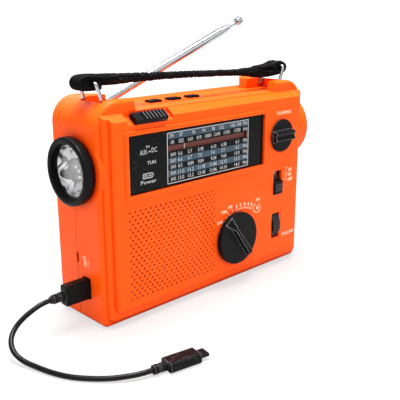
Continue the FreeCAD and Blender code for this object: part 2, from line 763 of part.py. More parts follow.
def make_tuning():
    """Tuning knob, shaft with its drum, pulley, cord and capacitor."""
    x = tuning_x
    z = tuning_z
    disc_back = face_y - knob_gap
    disc_front = disc_back - tuning_disc_thickness
    radius = tuning_knob_radius
    disc = rod(radius, V(x, disc_front, z), V(x, disc_back, z))
    disc = rounded_edges(disc, 0.8, on_plane("y", disc_front))
    half = tuning_grip_width / 2
    top = disc_front - tuning_grip_rise
    corners = [(disc_front + 0.5, z - half - 1.0, 0), (top + 0.6, z - half, 0.6), (top, z - half + 1.2, 0.5),
               (top + 1.6, z, 2.0), (top, z + half - 1.2, 0.5), (top + 0.6, z + half, 0.6),
               (disc_front + 0.5, z + half + 1.0, 0)]
    grip = plate_yz(corners, x - radius + 0.6, x + tuning_grip_reach)
    skirt = rod(5.0, V(x, disc_back, z), V(x, disc_back + 0.3, z))
    knob = joined(disc, grip.common(rod(radius - 0.4, V(x, top - 1, z), V(x, disc_back, z))), skirt)
    bore = rod(tuning_shaft_radius, V(x, disc_front + 1, z), V(x, disc_back + 1, z))
    knob = knob.cut(bore)
    shaft = rod(tuning_shaft_radius, V(x, disc_front + 1, z), V(x, capacitor_front_y - slip, z))
    drum = grooved_wheel(x, tuning_shaft_radius - 0.5)
    shaft = joined(shaft, drum)
    pulley = grooved_wheel(pulley_x, pulley_pin_radius + running)
    cord_y = drum_y + drum_width / 2
    loop = corner_wire(rectangle(pulley_x - drum_radius, x + drum_radius, z - drum_radius, z + drum_radius,
                                 drum_radius - 1e-4), lambda u, v: V(u, cord_y, v))
    loop = Part.Wire(Part.__sortEdges__(loop.Edges))
    start = loop.Edges[0].valueAt(loop.Edges[0].FirstParameter)
    tangent = loop.Edges[0].tangentAt(loop.Edges[0].FirstParameter)
    section = Part.Wire(Part.makeCircle(dial_cord_radius, start, tangent))
    cord = loop.makePipeShell([section], True, False)
    capacitor = box(x - 10, x + 10, capacitor_front_y, board_y, z - 10, z + 10)
    capacitor = rounded_edges(capacitor, 1.0, on_plane("y", capacitor_front_y))
    neck = ring(5.0, tuning_shaft_radius + running, V(x, capacitor_front_y - 2.0, z),
                V(x, capacitor_front_y, z))
    capacitor = joined(capacitor, neck)
    return {"tuning_knob": knob, "tuning_shaft": shaft, "dial_pulley": pulley, "dial_cord": cord,
            "tuning_capacitor": capacitor}


# ---------------------------------------------------------------- band selector
def band_wing(disc_front):
    """Pointer grip of the band knob: a ramp from the rim and a flat bar that widens to its end."""
    x = band_x
    z = band_z
    high = disc_front - band_grip_rise
    low = disc_front + 1.0
    half = band_grip_width / 2
    start = 0.5 - band_knob_radius
    crest = start + band_grip_ramp
    end = band_grip_end
    side = [(start, low, 0), (start, disc_front, 0), (crest, high, 0.6), (end, high, 1.0), (end, low, 0)]
    profile = Part.Face(corner_wire(side, lambda u, y: V(x + u, y, z - 8))).extrude(V(0, 0, 16))
    outlines = []
    for y, spread in ((low, 1.0), (high - 0.1, 0.0)):
        corners = [(start - 1, half + 1.4), (crest, 0.6 * half), (end + 1, half)]
        loop = [(u, v + spread, 0) for u, v in corners] + [(u, -v - spread, 0) for u, v in reversed(corners)]
        outlines.append(corner_wire(loop, lambda u, v: V(x + u, y, z + v)))
    wing = profile.common(Part.makeLoft(outlines, True, True))
    wing.rotate(V(x, 0, z), V(0, 1, 0), -band_grip_angle)
    return wing


def make_band():
    """Band knob with its wing grip and moulded shaft, and the rotary switch on the board."""
    x = band_x
    z = band_z
    disc_back = face_y - knob_gap
    disc_front = disc_back - band_disc_thickness
    radius = band_knob_radius
    disc = rod(radius, V(x, disc_front, z), V(x, disc_back, z))
    disc = rounded_edges(disc, 0.9, on_plane("y", disc_front))
    shaft = rod(band_shaft_radius, V(x, disc_back - 1, z), V(x, band_switch_front_y + 4, z))
    knob = joined(disc, band_wing(disc_front), shaft)
    body = rod(12.0, V(x, band_switch_front_y, z), V(x, board_y, z))
    tabs = box(x - 16, x + 16, band_switch_front_y + 6, board_y, z - 5, z + 5)
    neck = rod(5.0, V(x, band_switch_front_y - 3, z), V(x, band_switch_front_y, z))
    body = joined(body, tabs, neck)
    body = body.cut(rod(band_shaft_radius + running, V(x, band_switch_front_y - 4, z),
                        V(x, band_switch_front_y + 4 + slip, z)))
    return {"band_knob": knob, "band_switch": body}


# ---------------------------------------------------------------- slide switch and volume wheel
def make_mode_switch():
    """Three-position slider cap and the switch it moves."""
    x0, x1, z0, z1 = mode_slot
    bottom = z0 + 0.4
    back = plate_inner_y + 1.2
    cap = box(x0 + 0.4, x1 - 0.4, face_y - mode_cap_rise, plate_inner_y + slip, bottom,
              bottom + mode_cap_height)
    cap = rounded_edges(cap, 0.7, on_plane("y", face_y - mode_cap_rise))
    flange = box(x0 - 1.2, x1 + 1.2, plate_inner_y + slip, back, bottom - 1.5, bottom + mode_cap_height + 1.5)
    ribs = []
    for k in range(3):
        z = bottom + 3.0 + 2.0 * k
        ribs.append(box(x0 + 1.2, x1 - 1.2, face_y - mode_cap_rise - 0.5, face_y - mode_cap_rise + 0.2,
                        z, z + 0.8))
    middle = (x0 + x1) / 2
    stem_z = bottom + mode_cap_height / 2
    stem = box(middle - 1.5, middle + 1.5, back, back + 4.5, stem_z - 1.5, stem_z + 1.5)
    cap = joined(cap, flange, stem, *ribs)
    body_front = back + slip
    body = box(x0 - 2, x1 + 2, body_front, board_y, z0 - 2, z1 + 4)
    channel = box(middle - 1.8, middle + 1.8, body_front - 1, back + 4.5 + slip, stem_z - 1.8,
                  stem_z + 1.5 + mode_travel + slip)
    return {"mode_slider": cap, "mode_switch": body.cut(channel)}


def make_volume():
    """Ribbed thumb wheel and its potentiometer."""
    x0, x1, z0, z1 = volume_slot
    z = (z0 + z1) / 2
    y = face_y - volume_rise + volume_radius
    left = x0 + 0.9
    right = x1 - 0.9
    count = 32
    points = []
    for k in range(2 * count):
        radius = volume_radius if k % 2 == 0 else volume_radius - 0.6
        for shift in (-0.3, 0.3):
            angle = math.pi * (k + shift) / count
            points.append(V(left, y + radius * math.cos(angle), z + radius * math.sin(angle)))
    wheel = Part.Face(Part.makePolygon(points + [points[0]])).extrude(V(right - left, 0, 0))
    wheel = wheel.cut(rod(volume_shaft_radius, V(left - 1, y, z), V(right + 1, y, z)))
    shaft = rod(volume_shaft_radius, V(left, y, z), V(right + 4, y, z))
    wheel = joined(wheel, shaft)
    body = box(x1 + 0.6, x1 + 8, plate_inner_y + 2, board_y, z - 8, z + 8)
    body = body.cut(rod(volume_shaft_radius + running, V(x1, y, z), V(right + 4 + slip, y, z)))
    return {"volume_wheel": wheel, "volume_control": body}


# ---------------------------------------------------------------- speaker
def make_speaker():
    """Pressed frame, cone and magnet of the loudspeaker."""
    origin = V(speaker_x, plate_inner_y, speaker_z)
    axis = V(0, 1, 0)
    frame = turned([(0, 25.5), (0, speaker_radius), (1.2, speaker_radius), (1.2, 26.2), (9.8, 15.0),
                    (9.8, 8.0), (9.0, 8.0), (9.0, 14.6), (1.0, 25.5)], origin, axis)
    windows = []
    for k in range(4):
        window = box(18.5, 22.5, 2.0, 8.6, -5.0, 5.0)
        window.rotate(V(0, 0, 0), V(0, 1, 0), 45 + 90 * k)
        window.translate(origin)
        windows.append(window)
    frame = frame.cut(Part.makeCompound(windows))
    cone = turned([(0.4, 25.2), (0.9, 25.2), (1.6, 23.0), (0.9, 21.5), (8.4, 7.4), (5.6, 3.6), (4.9, 0),
                   (4.4, 0), (5.1, 3.9), (7.8, 7.2), (0.3, 21.5), (1.0, 23.0)], origin, axis)
    magnet = turned([(9.8, 0), (9.8, 14.5), (speaker_depth - 1.5, 14.5), (speaker_depth - 1.5, 12.5),
                     (speaker_depth, 12.5), (speaker_depth, 0)], origin, axis)
    coil = turned([(7.9, 5.6), (7.9, 6.4), (9.8, 6.4), (9.8, 5.6)], origin, axis)
    magnet = joined(magnet, coil)
    return {"speaker_frame": frame, "speaker_cone": cone, "speaker_magnet": magnet}


# ---------------------------------------------------------------- torch
def make_lamp():
    """Bezel, lens, reflector, lamp and holder of the torch."""
    side = -half_width
    origin = V(side, 0, lamp_z)
    out = V(-1, 0, 0)
    lens_back = 2.0
    seat = lens_back + lens_thickness
    groove = bezel_rise - 2.2
    bezel = turned([(0, bezel_opening + 1.1), (0, bezel_radius - 1.8), (1.5, bezel_radius - 0.6),
                    (3.0, bezel_radius), (groove - 0.4, bezel_radius), (groove - 0.2, bezel_radius - 0.5),
                    (groove + 0.2, bezel_radius - 0.5), (groove + 0.4, bezel_radius),
                    (bezel_rise - 0.7, bezel_radius - 0.2), (bezel_rise, bezel_radius - 1.4),
                    (bezel_rise, bezel_opening + 1.6), (bezel_rise - 0.8, bezel_opening + 0.5),
                    (seat, bezel_opening), (seat, bezel_opening + 1.1)], origin, out)
    spigot = ring(lamp_mouth - 0.15, bezel_opening + 1.1, V(side, 0, lamp_z), V(side + 4.5, 0, lamp_z))
    bezel = joined(bezel, spigot)
    lens = rod(bezel_opening + 0.9, V(side - seat, 0, lamp_z), V(side - lens_back, 0, lamp_z))
    mouth = bezel_opening - 0.2
    floor = lens_back - reflector_depth
    cup_top = floor + 4.0
    inner = [(floor, 3.0), (floor, lamp_cup_radius - 0.6)]
    outer = [(floor - 1.0, 3.0), (floor - 1.0, lamp_cup_radius + 0.4)]
    for k in range(9):
        share = k / 8
        radius = lamp_cup_radius + (mouth - lamp_cup_radius) * share
        along = cup_top + (lens_back - cup_top) * (0.35 * share + 0.65 * share ** 2)
        inner.append((along, radius))
        outer.append((along - 1.0, radius + 0.9))
    rim = [(lens_back, bezel_opening + 0.9), (lens_back - 1.0, bezel_opening + 0.9)]
    reflector = turned(inner + rim + list(reversed(outer)), origin, out)
    base_x = side - lens_back + reflector_depth
    led_board = rod(8.0, V(base_x + 1.0, 0, lamp_z), V(base_x + 2.6, 0, lamp_z))
    lamp = joined(rod(2.6, V(base_x - 1.2, 0, lamp_z), V(base_x + 1.0, 0, lamp_z)),
                  Part.makeSphere(1.9, V(base_x - 1.2, 0, lamp_z)))
    holder_start = side + wall
    holder = ring(lamp_holder_radius, lamp_mouth + slip, V(holder_start, 0, lamp_z),
                  V(base_x + 2.6, 0, lamp_z))
    holder_floor = ring(lamp_holder_radius, 4.0, V(base_x + 2.6, 0, lamp_z), V(base_x + 4.2, 0, lamp_z))
    return {"lamp_bezel": bezel, "lamp_lens": lens, "lamp_reflector": reflector,
            "lamp_led": joined(lamp, led_board), "lamp_holder": joined(holder, holder_floor)}


# ---------------------------------------------------------------- crank and gear train
def involute(angle):
    return math.tan(angle) - angle


def gear(teeth, y, z, x0, x1, phase, addendum=0.9, thinning=0.09):
    """Spur gear about X; phase is the angle of one tooth's centre from +Y towards +Z, in radians."""
    pitch = gear_module * teeth / 2
    base = pitch * math.cos(math.radians(20))
    tip = pitch + addendum * gear_module
    root = pitch - 1.25 * gear_module
    half_pitch = math.pi / (2 * teeth) - thinning / pitch + involute(math.radians(20))
    flank = []
    for radius in (max(base, root + 0.05), (pitch + max(base, root)) / 2, (pitch + tip) / 2, tip):
        flank.append((radius, half_pitch - involute(math.acos(min(1.0, base / radius)))))
    widths = [(root, flank[0][1] - (0.012 if base > root + 0.05 else 0))] + flank
    points = []
    for k in range(teeth):
        centre = phase + 2 * math.pi * k / teeth
        for radius, half in widths:
            angle = centre - half
            points.append(V(x0, y + radius * math.cos(angle), z + radius * math.sin(angle)))
        for radius, half in reversed(widths):
            angle = centre + half
            points.append(V(x0, y + radius * math.cos(angle), z + radius * math.sin(angle)))
    return Part.Face(Part.makePolygon(points + [points[0]])).extrude(V(x1 - x0, 0, 0))


drive_distance = gear_module * (drive_teeth + idler_pinion_teeth) / 2
rotor_distance = gear_module * (idler_wheel_teeth + rotor_teeth) / 2
idler_z = crank_z - drive_distance
rotor_z = idler_z - math.sqrt(rotor_distance ** 2 - rotor_y ** 2)
gearbox_front_y = front_y + 4.9
gearbox_back_y = front_y + 42.9
pillar_places = [(gearbox_front_y + 3.0, crank_z + 17.5), (gearbox_back_y - 4.0, crank_z + 17.5),
                 (gearbox_front_y + 3.5, crank_z - 49.0), (gearbox_back_y - 2.5, crank_z - 53.0)]
idler_shaft_radius = 1.5
rotor_shaft_radius = 1.0


def make_gear_train():
    """Gearbox plates, drive gear, compound idler, rotor pinion and generator."""
    low = crank_z - 57
    high = crank_z + 21
    corners = [(gearbox_front_y, low + 3, 3), (gearbox_front_y + 9.5, low, 3), (gearbox_back_y, low, 3),
               (gearbox_back_y, high, 3), (gearbox_front_y, high, 3)]
    inner = plate_yz(corners, inner_plate_x, plate_gap_x0)
    outer = plate_yz(corners, outer_plate_x, gear_outer_x)
    pillars = [rod(2.5, V(plate_gap_x0, y, z), V(outer_plate_x, y, z)) for y, z in pillar_places]
    idler_shaft = rod(idler_shaft_radius, V(inner_plate_x, 0, idler_z), V(gear_outer_x, 0, idler_z))
    inner = joined(inner, idler_shaft, *pillars)
    x0 = inner_plate_x - 10
    x1 = half_width + 20
    crank_hole = rod(crank_shaft_radius + running, V(x0, 0, crank_z), V(x1, 0, crank_z))
    rotor_hole = rod(rotor_shaft_radius + running, V(x0, rotor_y, rotor_z),
                     V(plate_gap_x0 + 1, rotor_y, rotor_z))
    inner = inner.cut(crank_hole).cut(rotor_hole)
    seat = rod(idler_shaft_radius, V(plate_gap_x0 + 1, 0, idler_z), V(x1, 0, idler_z))
    outer = outer.cut(crank_hole).cut(seat)
    down = -math.pi / 2
    to_rotor = math.atan2(rotor_z - idler_z, rotor_y)
    gap = plate_gap_x0
    drive = gear(drive_teeth, 0, crank_z, gap + 5.9, gap + 9.7, down)
    hub = rod(6.0, V(gap + 4.7, 0, crank_z), V(gap + 5.9, 0, crank_z))
    spokes = []
    for k in range(6):
        angle = 2 * math.pi * k / 6
        spokes.append(rod(2.6, V(gap + 4, 10.6 * math.cos(angle), crank_z + 10.6 * math.sin(angle)),
                          V(gap + 11, 10.6 * math.cos(angle), crank_z + 10.6 * math.sin(angle))))
    drive = joined(drive, hub).cut(Part.makeCompound(spokes))
    drive = drive.cut(rod(crank_shaft_radius, V(x0, 0, crank_z), V(x1, 0, crank_z)))
    half_tooth = math.pi / idler_pinion_teeth
    pinion = gear(idler_pinion_teeth, 0, idler_z, gap + 5.5, gap + 9.9, half_tooth - down)
    wheel = gear(idler_wheel_teeth, 0, idler_z, gap + 0.9, gap + 4.1, to_rotor)
    sleeve = rod(3.6, V(gap + 0.5, 0, idler_z), V(gap + 5.5, 0, idler_z))
    idler = joined(wheel, sleeve, pinion)
    idler = idler.cut(rod(idler_shaft_radius + running, V(x0, 0, idler_z), V(x1, 0, idler_z)))
    rotor_phase = to_rotor + math.pi + math.pi / rotor_teeth
    rotor_pinion = gear(rotor_teeth, rotor_y, rotor_z, gap + 0.5, gap + 4.7, rotor_phase)
    rotor_shaft = rod(rotor_shaft_radius, V(inner_plate_x - 3, rotor_y, rotor_z),
                      V(gap + 4.7, rotor_y, rotor_z))
    rotor = joined(rotor_pinion, rotor_shaft)
    can = rod(generator_radius, V(inner_plate_x - generator_length, rotor_y, rotor_z),
              V(inner_plate_x, rotor_y, rotor_z))
    can = rounded_edges(can, 1.5, on_plane("x", inner_plate_x - generator_length))
    can = can.cut(rod(rotor_shaft_radius + running, V(inner_plate_x - 3 - slip, rotor_y, rotor_z),
                      V(inner_plate_x + 1, rotor_y, rotor_z)))
    return {"gearbox_frame": inner, "gearbox_plate": outer, "drive_gear": drive, "idler_gear": idler,
            "rotor_pinion": rotor, "generator": can}


arm_x = crank_boss_end + 0.4
grip_pivot_z = crank_z - crank_length
grip_axis_x = arm_x + crank_arm_thickness + slip + grip_radius


def make_crank():
    """Crank shaft, arm with its clevis, folding stem and turning grip."""
    x1 = arm_x + crank_arm_thickness
    shaft = rod(crank_shaft_radius, V(inner_plate_x - 1.0, 0, crank_z), V(x1, 0, crank_z))
    top = rod(crank_arm_wide, V(arm_x, 0, crank_z), V(x1, 0, crank_z))
    low = rod(crank_arm_narrow, V(arm_x, 0, grip_pivot_z), V(x1, 0, grip_pivot_z))
    web = plate_yz([(-crank_arm_wide, crank_z, 0), (-crank_arm_narrow, grip_pivot_z, 0),
                    (crank_arm_narrow, grip_pivot_z, 0), (crank_arm_wide, crank_z, 0)], arm_x, x1)
    arm = joined(top, low, web)
    recess_top = crank_z - 12
    recess_low = grip_pivot_z + 12
    recess = plate_yz([(-crank_arm_wide + 4, recess_top, 1.5), (-crank_arm_narrow + 3, recess_low, 1.5),
                       (crank_arm_narrow - 3, recess_low, 1.5), (crank_arm_wide - 4, recess_top, 1.5)],
                      x1 - 0.8, x1 + 1)
    ears = []
    for side in (-1, 1):
        y0 = 3.5 if side > 0 else -5.7
        ear = plate_xz([(x1 - 0.5, grip_pivot_z - 4.6, 0), (grip_axis_x + 4.2, grip_pivot_z - 4.6, 4.0),
                        (grip_axis_x + 4.2, grip_pivot_z + 4.6, 4.0), (x1 - 0.5, grip_pivot_z + 4.6, 0)],
                       y0, y0 + 2.2)
        ears.append(ear)
    fold_pin = rod(1.5, V(grip_axis_x, -5.7, grip_pivot_z), V(grip_axis_x, 5.7, grip_pivot_z))
    arm = joined(arm, *ears).cut(recess)
    arm = joined(arm, fold_pin)
    cap = rod(7.0, V(x1, 0, crank_z), V(x1 + 1.6, 0, crank_z))
    cap = rounded_edges(cap, 0.9, on_plane("x", x1 + 1.6))
    arm = joined(arm, cap).cut(rod(crank_shaft_radius, V(half_width, 0, crank_z), V(x1, 0, crank_z)))
    knuckle = rod(3.6, V(grip_axis_x, -3.2, grip_pivot_z), V(grip_axis_x, 3.2, grip_pivot_z))
    grip_start = grip_pivot_z + 7.4
    grip_end = grip_start + grip_length
    neck = rod(3.0, V(grip_axis_x, 0, grip_pivot_z), V(grip_axis_x, 0, grip_start - slip))
    collar = rod(4.2, V(grip_axis_x, 0, grip_start - slip - 1.5), V(grip_axis_x, 0, grip_start - slip))
    stem = rod(2.2, V(grip_axis_x, 0, grip_pivot_z), V(grip_axis_x, 0, grip_end + 1.0))
    head = rod(3.6, V(grip_axis_x, 0, grip_end + slip), V(grip_axis_x, 0, grip_end + 1.6))
    stem = joined(knuckle, neck, collar, stem, head)
    stem = stem.cut(rod(1.5 + running, V(grip_axis_x, -9, grip_pivot_z), V(grip_axis_x, 9, grip_pivot_z)))
    grip = turned([(0, 2.2 + running), (0, 4.6), (1.2, 5.3), (6, grip_radius),
                   (grip_length / 2, grip_radius - 0.7), (grip_length - 6, grip_radius),
                   (grip_length - 1.0, 5.2), (grip_length, 4.4),
                   (grip_length, 2.2 + running)], V(grip_axis_x, 0, grip_start), V(0, 0, 1))
    return {"crank_shaft": shaft, "crank_arm": arm, "crank_stem": stem, "crank_grip": grip}


# ---------------------------------------------------------------- top controls
def slope_frame(solid):
    """Lay a solid drawn at the origin onto the sloping edge: its Y runs up the slope."""
    solid.rotate(V(0, 0, 0), V(1, 0, 0), math.degrees(bevel_angle))
    solid.translate(V(0, face_y, bevel_front_z))
    return solid


def make_lamp_switch():
    """Ribbed torch slider on the sloping edge and the switch under it."""
    x0 = lamp_slider_left
    x1 = lamp_slider_right
    bottom = -lamp_recess_depth + slip
    plate = box(x0, x1, lamp_slider_from, lamp_slider_to, bottom, lamp_slider_rise - 0.9)
    ribs = [box(x0, x0 + 6.5, lamp_slider_from, lamp_slider_to, lamp_slider_rise - 1.0,
                lamp_slider_rise - 0.2)]
    pitch = (x1 - x0 - 6.5) / 7
    for k in range(7):
        start = x0 + 6.5 + pitch * (k + 0.42)
        ribs.append(box(start, start + pitch * 0.58, lamp_slider_from, lamp_slider_to,
                        lamp_slider_rise - 1.0, lamp_slider_rise))
    cap = slope_frame(joined(plate, *ribs))
    stem = box(stem_x - stem_width / 2, stem_x + stem_width / 2, stem_y0, stem_y1, bevel_front_z - 7.3,
               bevel_z(stem_y0, lamp_recess_depth - 1.0))
    cap = joined(cap, stem)
    body = box(stem_x - 9.0, stem_x + 9.0, stem_y0 - 0.2, board_y, bevel_front_z - 15.3,
               bevel_front_z - 5.5)
    channel = box(stem_x - stem_width / 2 - lamp_slider_travel - slip, stem_x + stem_width / 2
                  + lamp_slider_travel + slip, stem_y0 - 2, stem_y1 + slip, bevel_front_z - 7.7,
                  bevel_front_z)
    return {"lamp_slider": cap, "lamp_switch": body.cut(channel)}


def make_buttons():
    """Three deck buttons, the tact switches under them and their board."""
    pieces = {}
    switches = []
    switch_top = button_board_top + 3.4
    flange_top = deck_height - wall - 0.2
    for number, x in enumerate(button_centres, start=1):
        half_x = button_size[0] / 2
        half_y = button_size[1] / 2
        cap = box(x - half_x, x + half_x, button_y - half_y, button_y + half_y, flange_top - 0.2,
                  deck_height + button_rise)
        cap = rounded_edges(cap, 0.6, on_plane("z", deck_height + button_rise))
        flange = box(x - half_x - 1.2, x + half_x + 1.2, button_y - half_y - 1.2, button_y + half_y + 1.2,
                     flange_top - 1.2, flange_top)
        nub = rod(1.5, V(x, button_y, switch_top + button_travel + 0.1), V(x, button_y, flange_top - 1.0))
        pieces["deck_button_%d" % number] = joined(cap, flange, nub)
        base = box(x - 3, x + 3, button_y - 3, button_y + 3, button_board_top, switch_top - 0.8)
        switches.append(joined(base, rod(1.7, V(x, button_y, switch_top - 1.0), V(x, button_y, switch_top))))
    x0, x1, y0, y1 = button_board
    board = box(x0, x1, y0, y1, button_board_top - button_board_thickness, button_board_top)
    pieces["button_board"] = joined(board, *switches)
    return pieces


# ---------------------------------------------------------------- board and small inner pieces
def make_board():
    """Main board with a notch for the volume wheel, and the ferrite rod aerial."""
    x0, x1, z0, z1 = volume_slot
    corners = [(-10, 12, 1), (x0 - 0.6, 12, 0), (x0 - 0.6, z1 + 6, 0), (x1 + 0.4, z1 + 6, 0),
               (x1 + 0.4, 12, 0), (board_right, 12, 1), (board_right, board_top, 1),
               (board_left, board_top, 1), (board_left, board_low, 1), (-10, board_low, 1)]
    board = plate_xz(corners, board_y, board_y + board_thickness)
    chips = [box(-2, 16, board_y + board_thickness, board_y + board_thickness + 1.8, 92, 104),
             box(-48, -36, board_y + board_thickness, board_y + board_thickness + 1.6, 98, 110),
             box(22, 44, board_y + board_thickness, board_y + board_thickness + 9, 60, 80)]
    core = rod(ferrite_radius, V(saddle_places[0] - 7, ferrite_y, ferrite_z),
               V(saddle_places[1] + 7, ferrite_y, ferrite_z))
    coil = ring(ferrite_radius + 1.2, ferrite_radius, V(saddle_places[0] + 10, ferrite_y, ferrite_z),
                V(saddle_places[0] + 30, ferrite_y, ferrite_z))
    return {"main_board": joined(board, *chips), "ferrite_rod": joined(core, coil)}


def make_screws():
    """Six case screws from the back."""
    screws = []
    for x, z in case_posts:
        shank = rod(screw_radius, V(x, -4.0, z), V(x, counterbore_y, z))
        head = rod(screw_head_radius, V(x, counterbore_y, z), V(x, counterbore_y + 2.0, z))
        head = rounded_edges(head, 0.6, on_plane("y", counterbore_y + 2.0))
        slot = box(x - 2.0, x + 2.0, counterbore_y + 1.0, counterbore_y + 3, z - 0.35, z + 0.35)
        cross = box(x - 0.35, x + 0.35, counterbore_y + 1.0, counterbore_y + 3, z - 2.0, z + 2.0)
        screws.append(joined(shank, head).cut(slot).cut(cross))
    return {"case_screws": Part.makeCompound(screws)}


# ---------------------------------------------------------------- sockets and lead
def make_sockets():
    """Power output socket and charging input socket behind the left wall."""
    width = plug_body[1] + 1.0
    height = plug_body[2] + 1.2
    x0 = -half_width + wall
    block = box(x0, x0 + 14, plug_y - width / 2 - 1.5, plug_y + width / 2 + 1.5,
                plug_z - height / 2 - 1.5, plug_z + height / 2 + 1.5)
    length, thick, tall = plug_shell
    mouth = box(x0 - 1, x0 + 12, plug_y - thick / 2 - 0.25, plug_y + thick / 2 + 0.25,
                plug_z - tall / 2 - 0.25, plug_z + tall / 2 + 0.25)
    tongue = box(x0 + 1.5, x0 + 12.5, plug_y - 0.2, plug_y + 1.2, plug_z - 5, plug_z + 5)
    output = joined(block.cut(mouth), tongue)
    shell = box(x0, x0 + 8, seam_y - 3.0, seam_y + 3.0, input_z - input_height / 2 - 1.6,
                input_z + input_height / 2 + 1.6)
    well = plate_yz(rectangle(seam_y - input_width / 2, seam_y + input_width / 2, input_z - input_height / 2,
                              input_z + input_height / 2, 1.0), x0 - 1, x0 + 6.5)
    blade = box(x0 + 0.8, x0 + 7, seam_y - 0.35, seam_y + 0.35, input_z - 2.6, input_z + 2.6)
    return {"output_socket": output, "input_socket": joined(shell.cut(well), blade)}


# centre line of the cable: out of the relief, down to the ground and round to the far connector
cable_route = [V(-128.0, -5.1, 24.0), V(-133.5, -5.1, 24.0), V(-141.0, -5.0, 21.6), V(-148.4, -4.7, 18.0),
               V(-155.0, -5.9, 13.9), V(-160.4, -10.4, 10.0), V(-163.0, -17.4, 6.3), V(-161.9, -26.0, 3.3),
               V(-158.6, -35.2, 2.0), V(-155.6, -46.0, 1.7), V(-150.9, -57.6, 1.7), V(-143.6, -67.4, 1.7),
               V(-135.4, -76.0, 2.0), V(-127.4, -82.4, 2.9), V(-119.8, -86.4, 3.2), V(-113.1, -87.6, 3.2)]
far_body_length = 21.0
far_height = 6.4
far_width = 12.0
far_relief = 9.0


def cable_points():
    """The route, begun at the end of the plug's relief."""
    start_x = -half_width + wall - 0.6 - plug_body[0] - relief_length
    shift = V(start_x - cable_route[0].x, plug_y - cable_route[0].y, 0)
    points = [point + shift for point in cable_route]
    points[0].z = plug_z
    points[1].z = plug_z
    return points


def cable_path(points):
    """Straight runs joined by tangent arcs as large as the runs allow; prints each radius."""
    edges = []
    here = points[0]
    for k in range(1, len(points) - 1):
        corner = points[k]
        before = points[k - 1] - corner
        after = points[k + 1] - corner
        shorter = min(before.Length, after.Length)
        turn = math.pi - before.getAngle(after)
        reach = 0.45 * shorter
        radius = reach / math.tan(turn / 2)
        print("cable bend %d: radius %.1f, turn %.0f deg" % (k, radius, math.degrees(turn)))
        before.normalize()
        after.normalize()
        start = corner + before * reach
        end = corner + after * reach
        inward = (before + after).normalize()
        centre = corner + inward * (radius / math.cos(turn / 2))
        middle = centre - inward * radius
        edges.append(Part.LineSegment(here, start).toShape())
        edges.append(Part.Arc(start, middle, end).toShape())
        here = end
    edges.append(Part.LineSegment(here, points[-1]).toShape())
    return Part.Wire(edges)


def make_lead():
    """Plug, cable and far connector of the charging lead."""
    length, width, height = plug_body
    route = cable_points()
    body_x1 = -half_width + wall - 0.6
    body_x0 = body_x1 - length
    outline = rectangle(plug_y - width / 2, plug_y + width / 2, plug_z - height / 2, plug_z + height / 2, 1.6)
    body = plate_yz(outline, body_x0, body_x1)
    body = rounded_edges(body, 0.8, on_plane("x", body_x0))
    relief = [rod(3.3, V(body_x0 - 3.5, plug_y, plug_z), V(body_x0, plug_y, plug_z)),
              rod(2.4, V(body_x0 - 5.0, plug_y, plug_z), V(body_x0 - 3.5, plug_y, plug_z)),
              rod(3.1, V(body_x0 - 8.2, plug_y, plug_z), V(body_x0 - 5.0, plug_y, plug_z)),
              rod(2.5, route[0], V(body_x0 - 8.2, plug_y, plug_z))]
    body = joined(body, *relief)
    s_length, s_width, s_height = plug_shell
    shell = box(body_x1, body_x1 + s_length, plug_y - s_width / 2, plug_y + s_width / 2,
                plug_z - s_height / 2, plug_z + s_height / 2)
    shell = shell.cut(box(body_x1 + 1, body_x1 + s_length + 1, plug_y - s_width / 2 + 0.4,
                          plug_y + s_width / 2 - 0.4, plug_z - s_height / 2 + 0.4,
                          plug_z + s_height / 2 - 0.4))
    insert = box(body_x1 + 1, body_x1 + s_length - 0.5, plug_y - s_width / 2 + 0.4, plug_y - 0.5,
                 plug_z - s_height / 2 + 0.6, plug_z + s_height / 2 - 0.6)
    wire = cable_path(route)
    first = wire.Edges[0]
    section = Part.Wire(Part.makeCircle(cable_radius, route[0], first.tangentAt(first.FirstParameter)))
    cable = wire.makePipeShell([section], True, False)
    heading = (route[-1] - route[-2]).normalize()
    flat = V(heading.x, heading.y, 0).normalize()
    side = V(-flat.y, flat.x, 0)
    end = V(route[-1].x, route[-1].y, far_height / 2)
    far = joined(rod(2.9, end, end + flat * (far_relief * 0.35)),
                 rod(2.3, end, end + flat * (far_relief * 0.5)),
                 rod(2.9, end + flat * (far_relief * 0.5), end + flat * far_relief))
    start = end + flat * far_relief
    corners = rectangle(-far_width / 2, far_width / 2, -far_height / 2, far_height / 2, 2.2)
    profile = corner_wire(corners, lambda u, v: start + side * u + V(0, 0, v))
    far = joined(far, Part.Face(profile).extrude(flat * far_body_length))
    tip_start = start + flat * far_body_length
    tip_profile = corner_wire(rectangle(-4.1, 4.1, -1.2, 1.2, 1.15),
                              lambda u, v: tip_start + side * u + V(0, 0, v))
    tip = Part.Face(tip_profile).extrude(flat * 6.6)
    return {"plug_body": body, "plug_shell": joined(shell, insert), "lead_cable": cable,
            "far_connector": Part.makeCompound([far, tip])}


# ---------------------------------------------------------------- handle
def bail_bar(side):
    """Place of the bar of one bail; side is -1 for the left one."""
    hinge = left_hinge_x if side < 0 else right_hinge_x
    lean = math.radians(bail_lean)
    return V(hinge + side * bail_height * math.sin(lean), 0, hinge_z + bail_height * math.cos(lean))


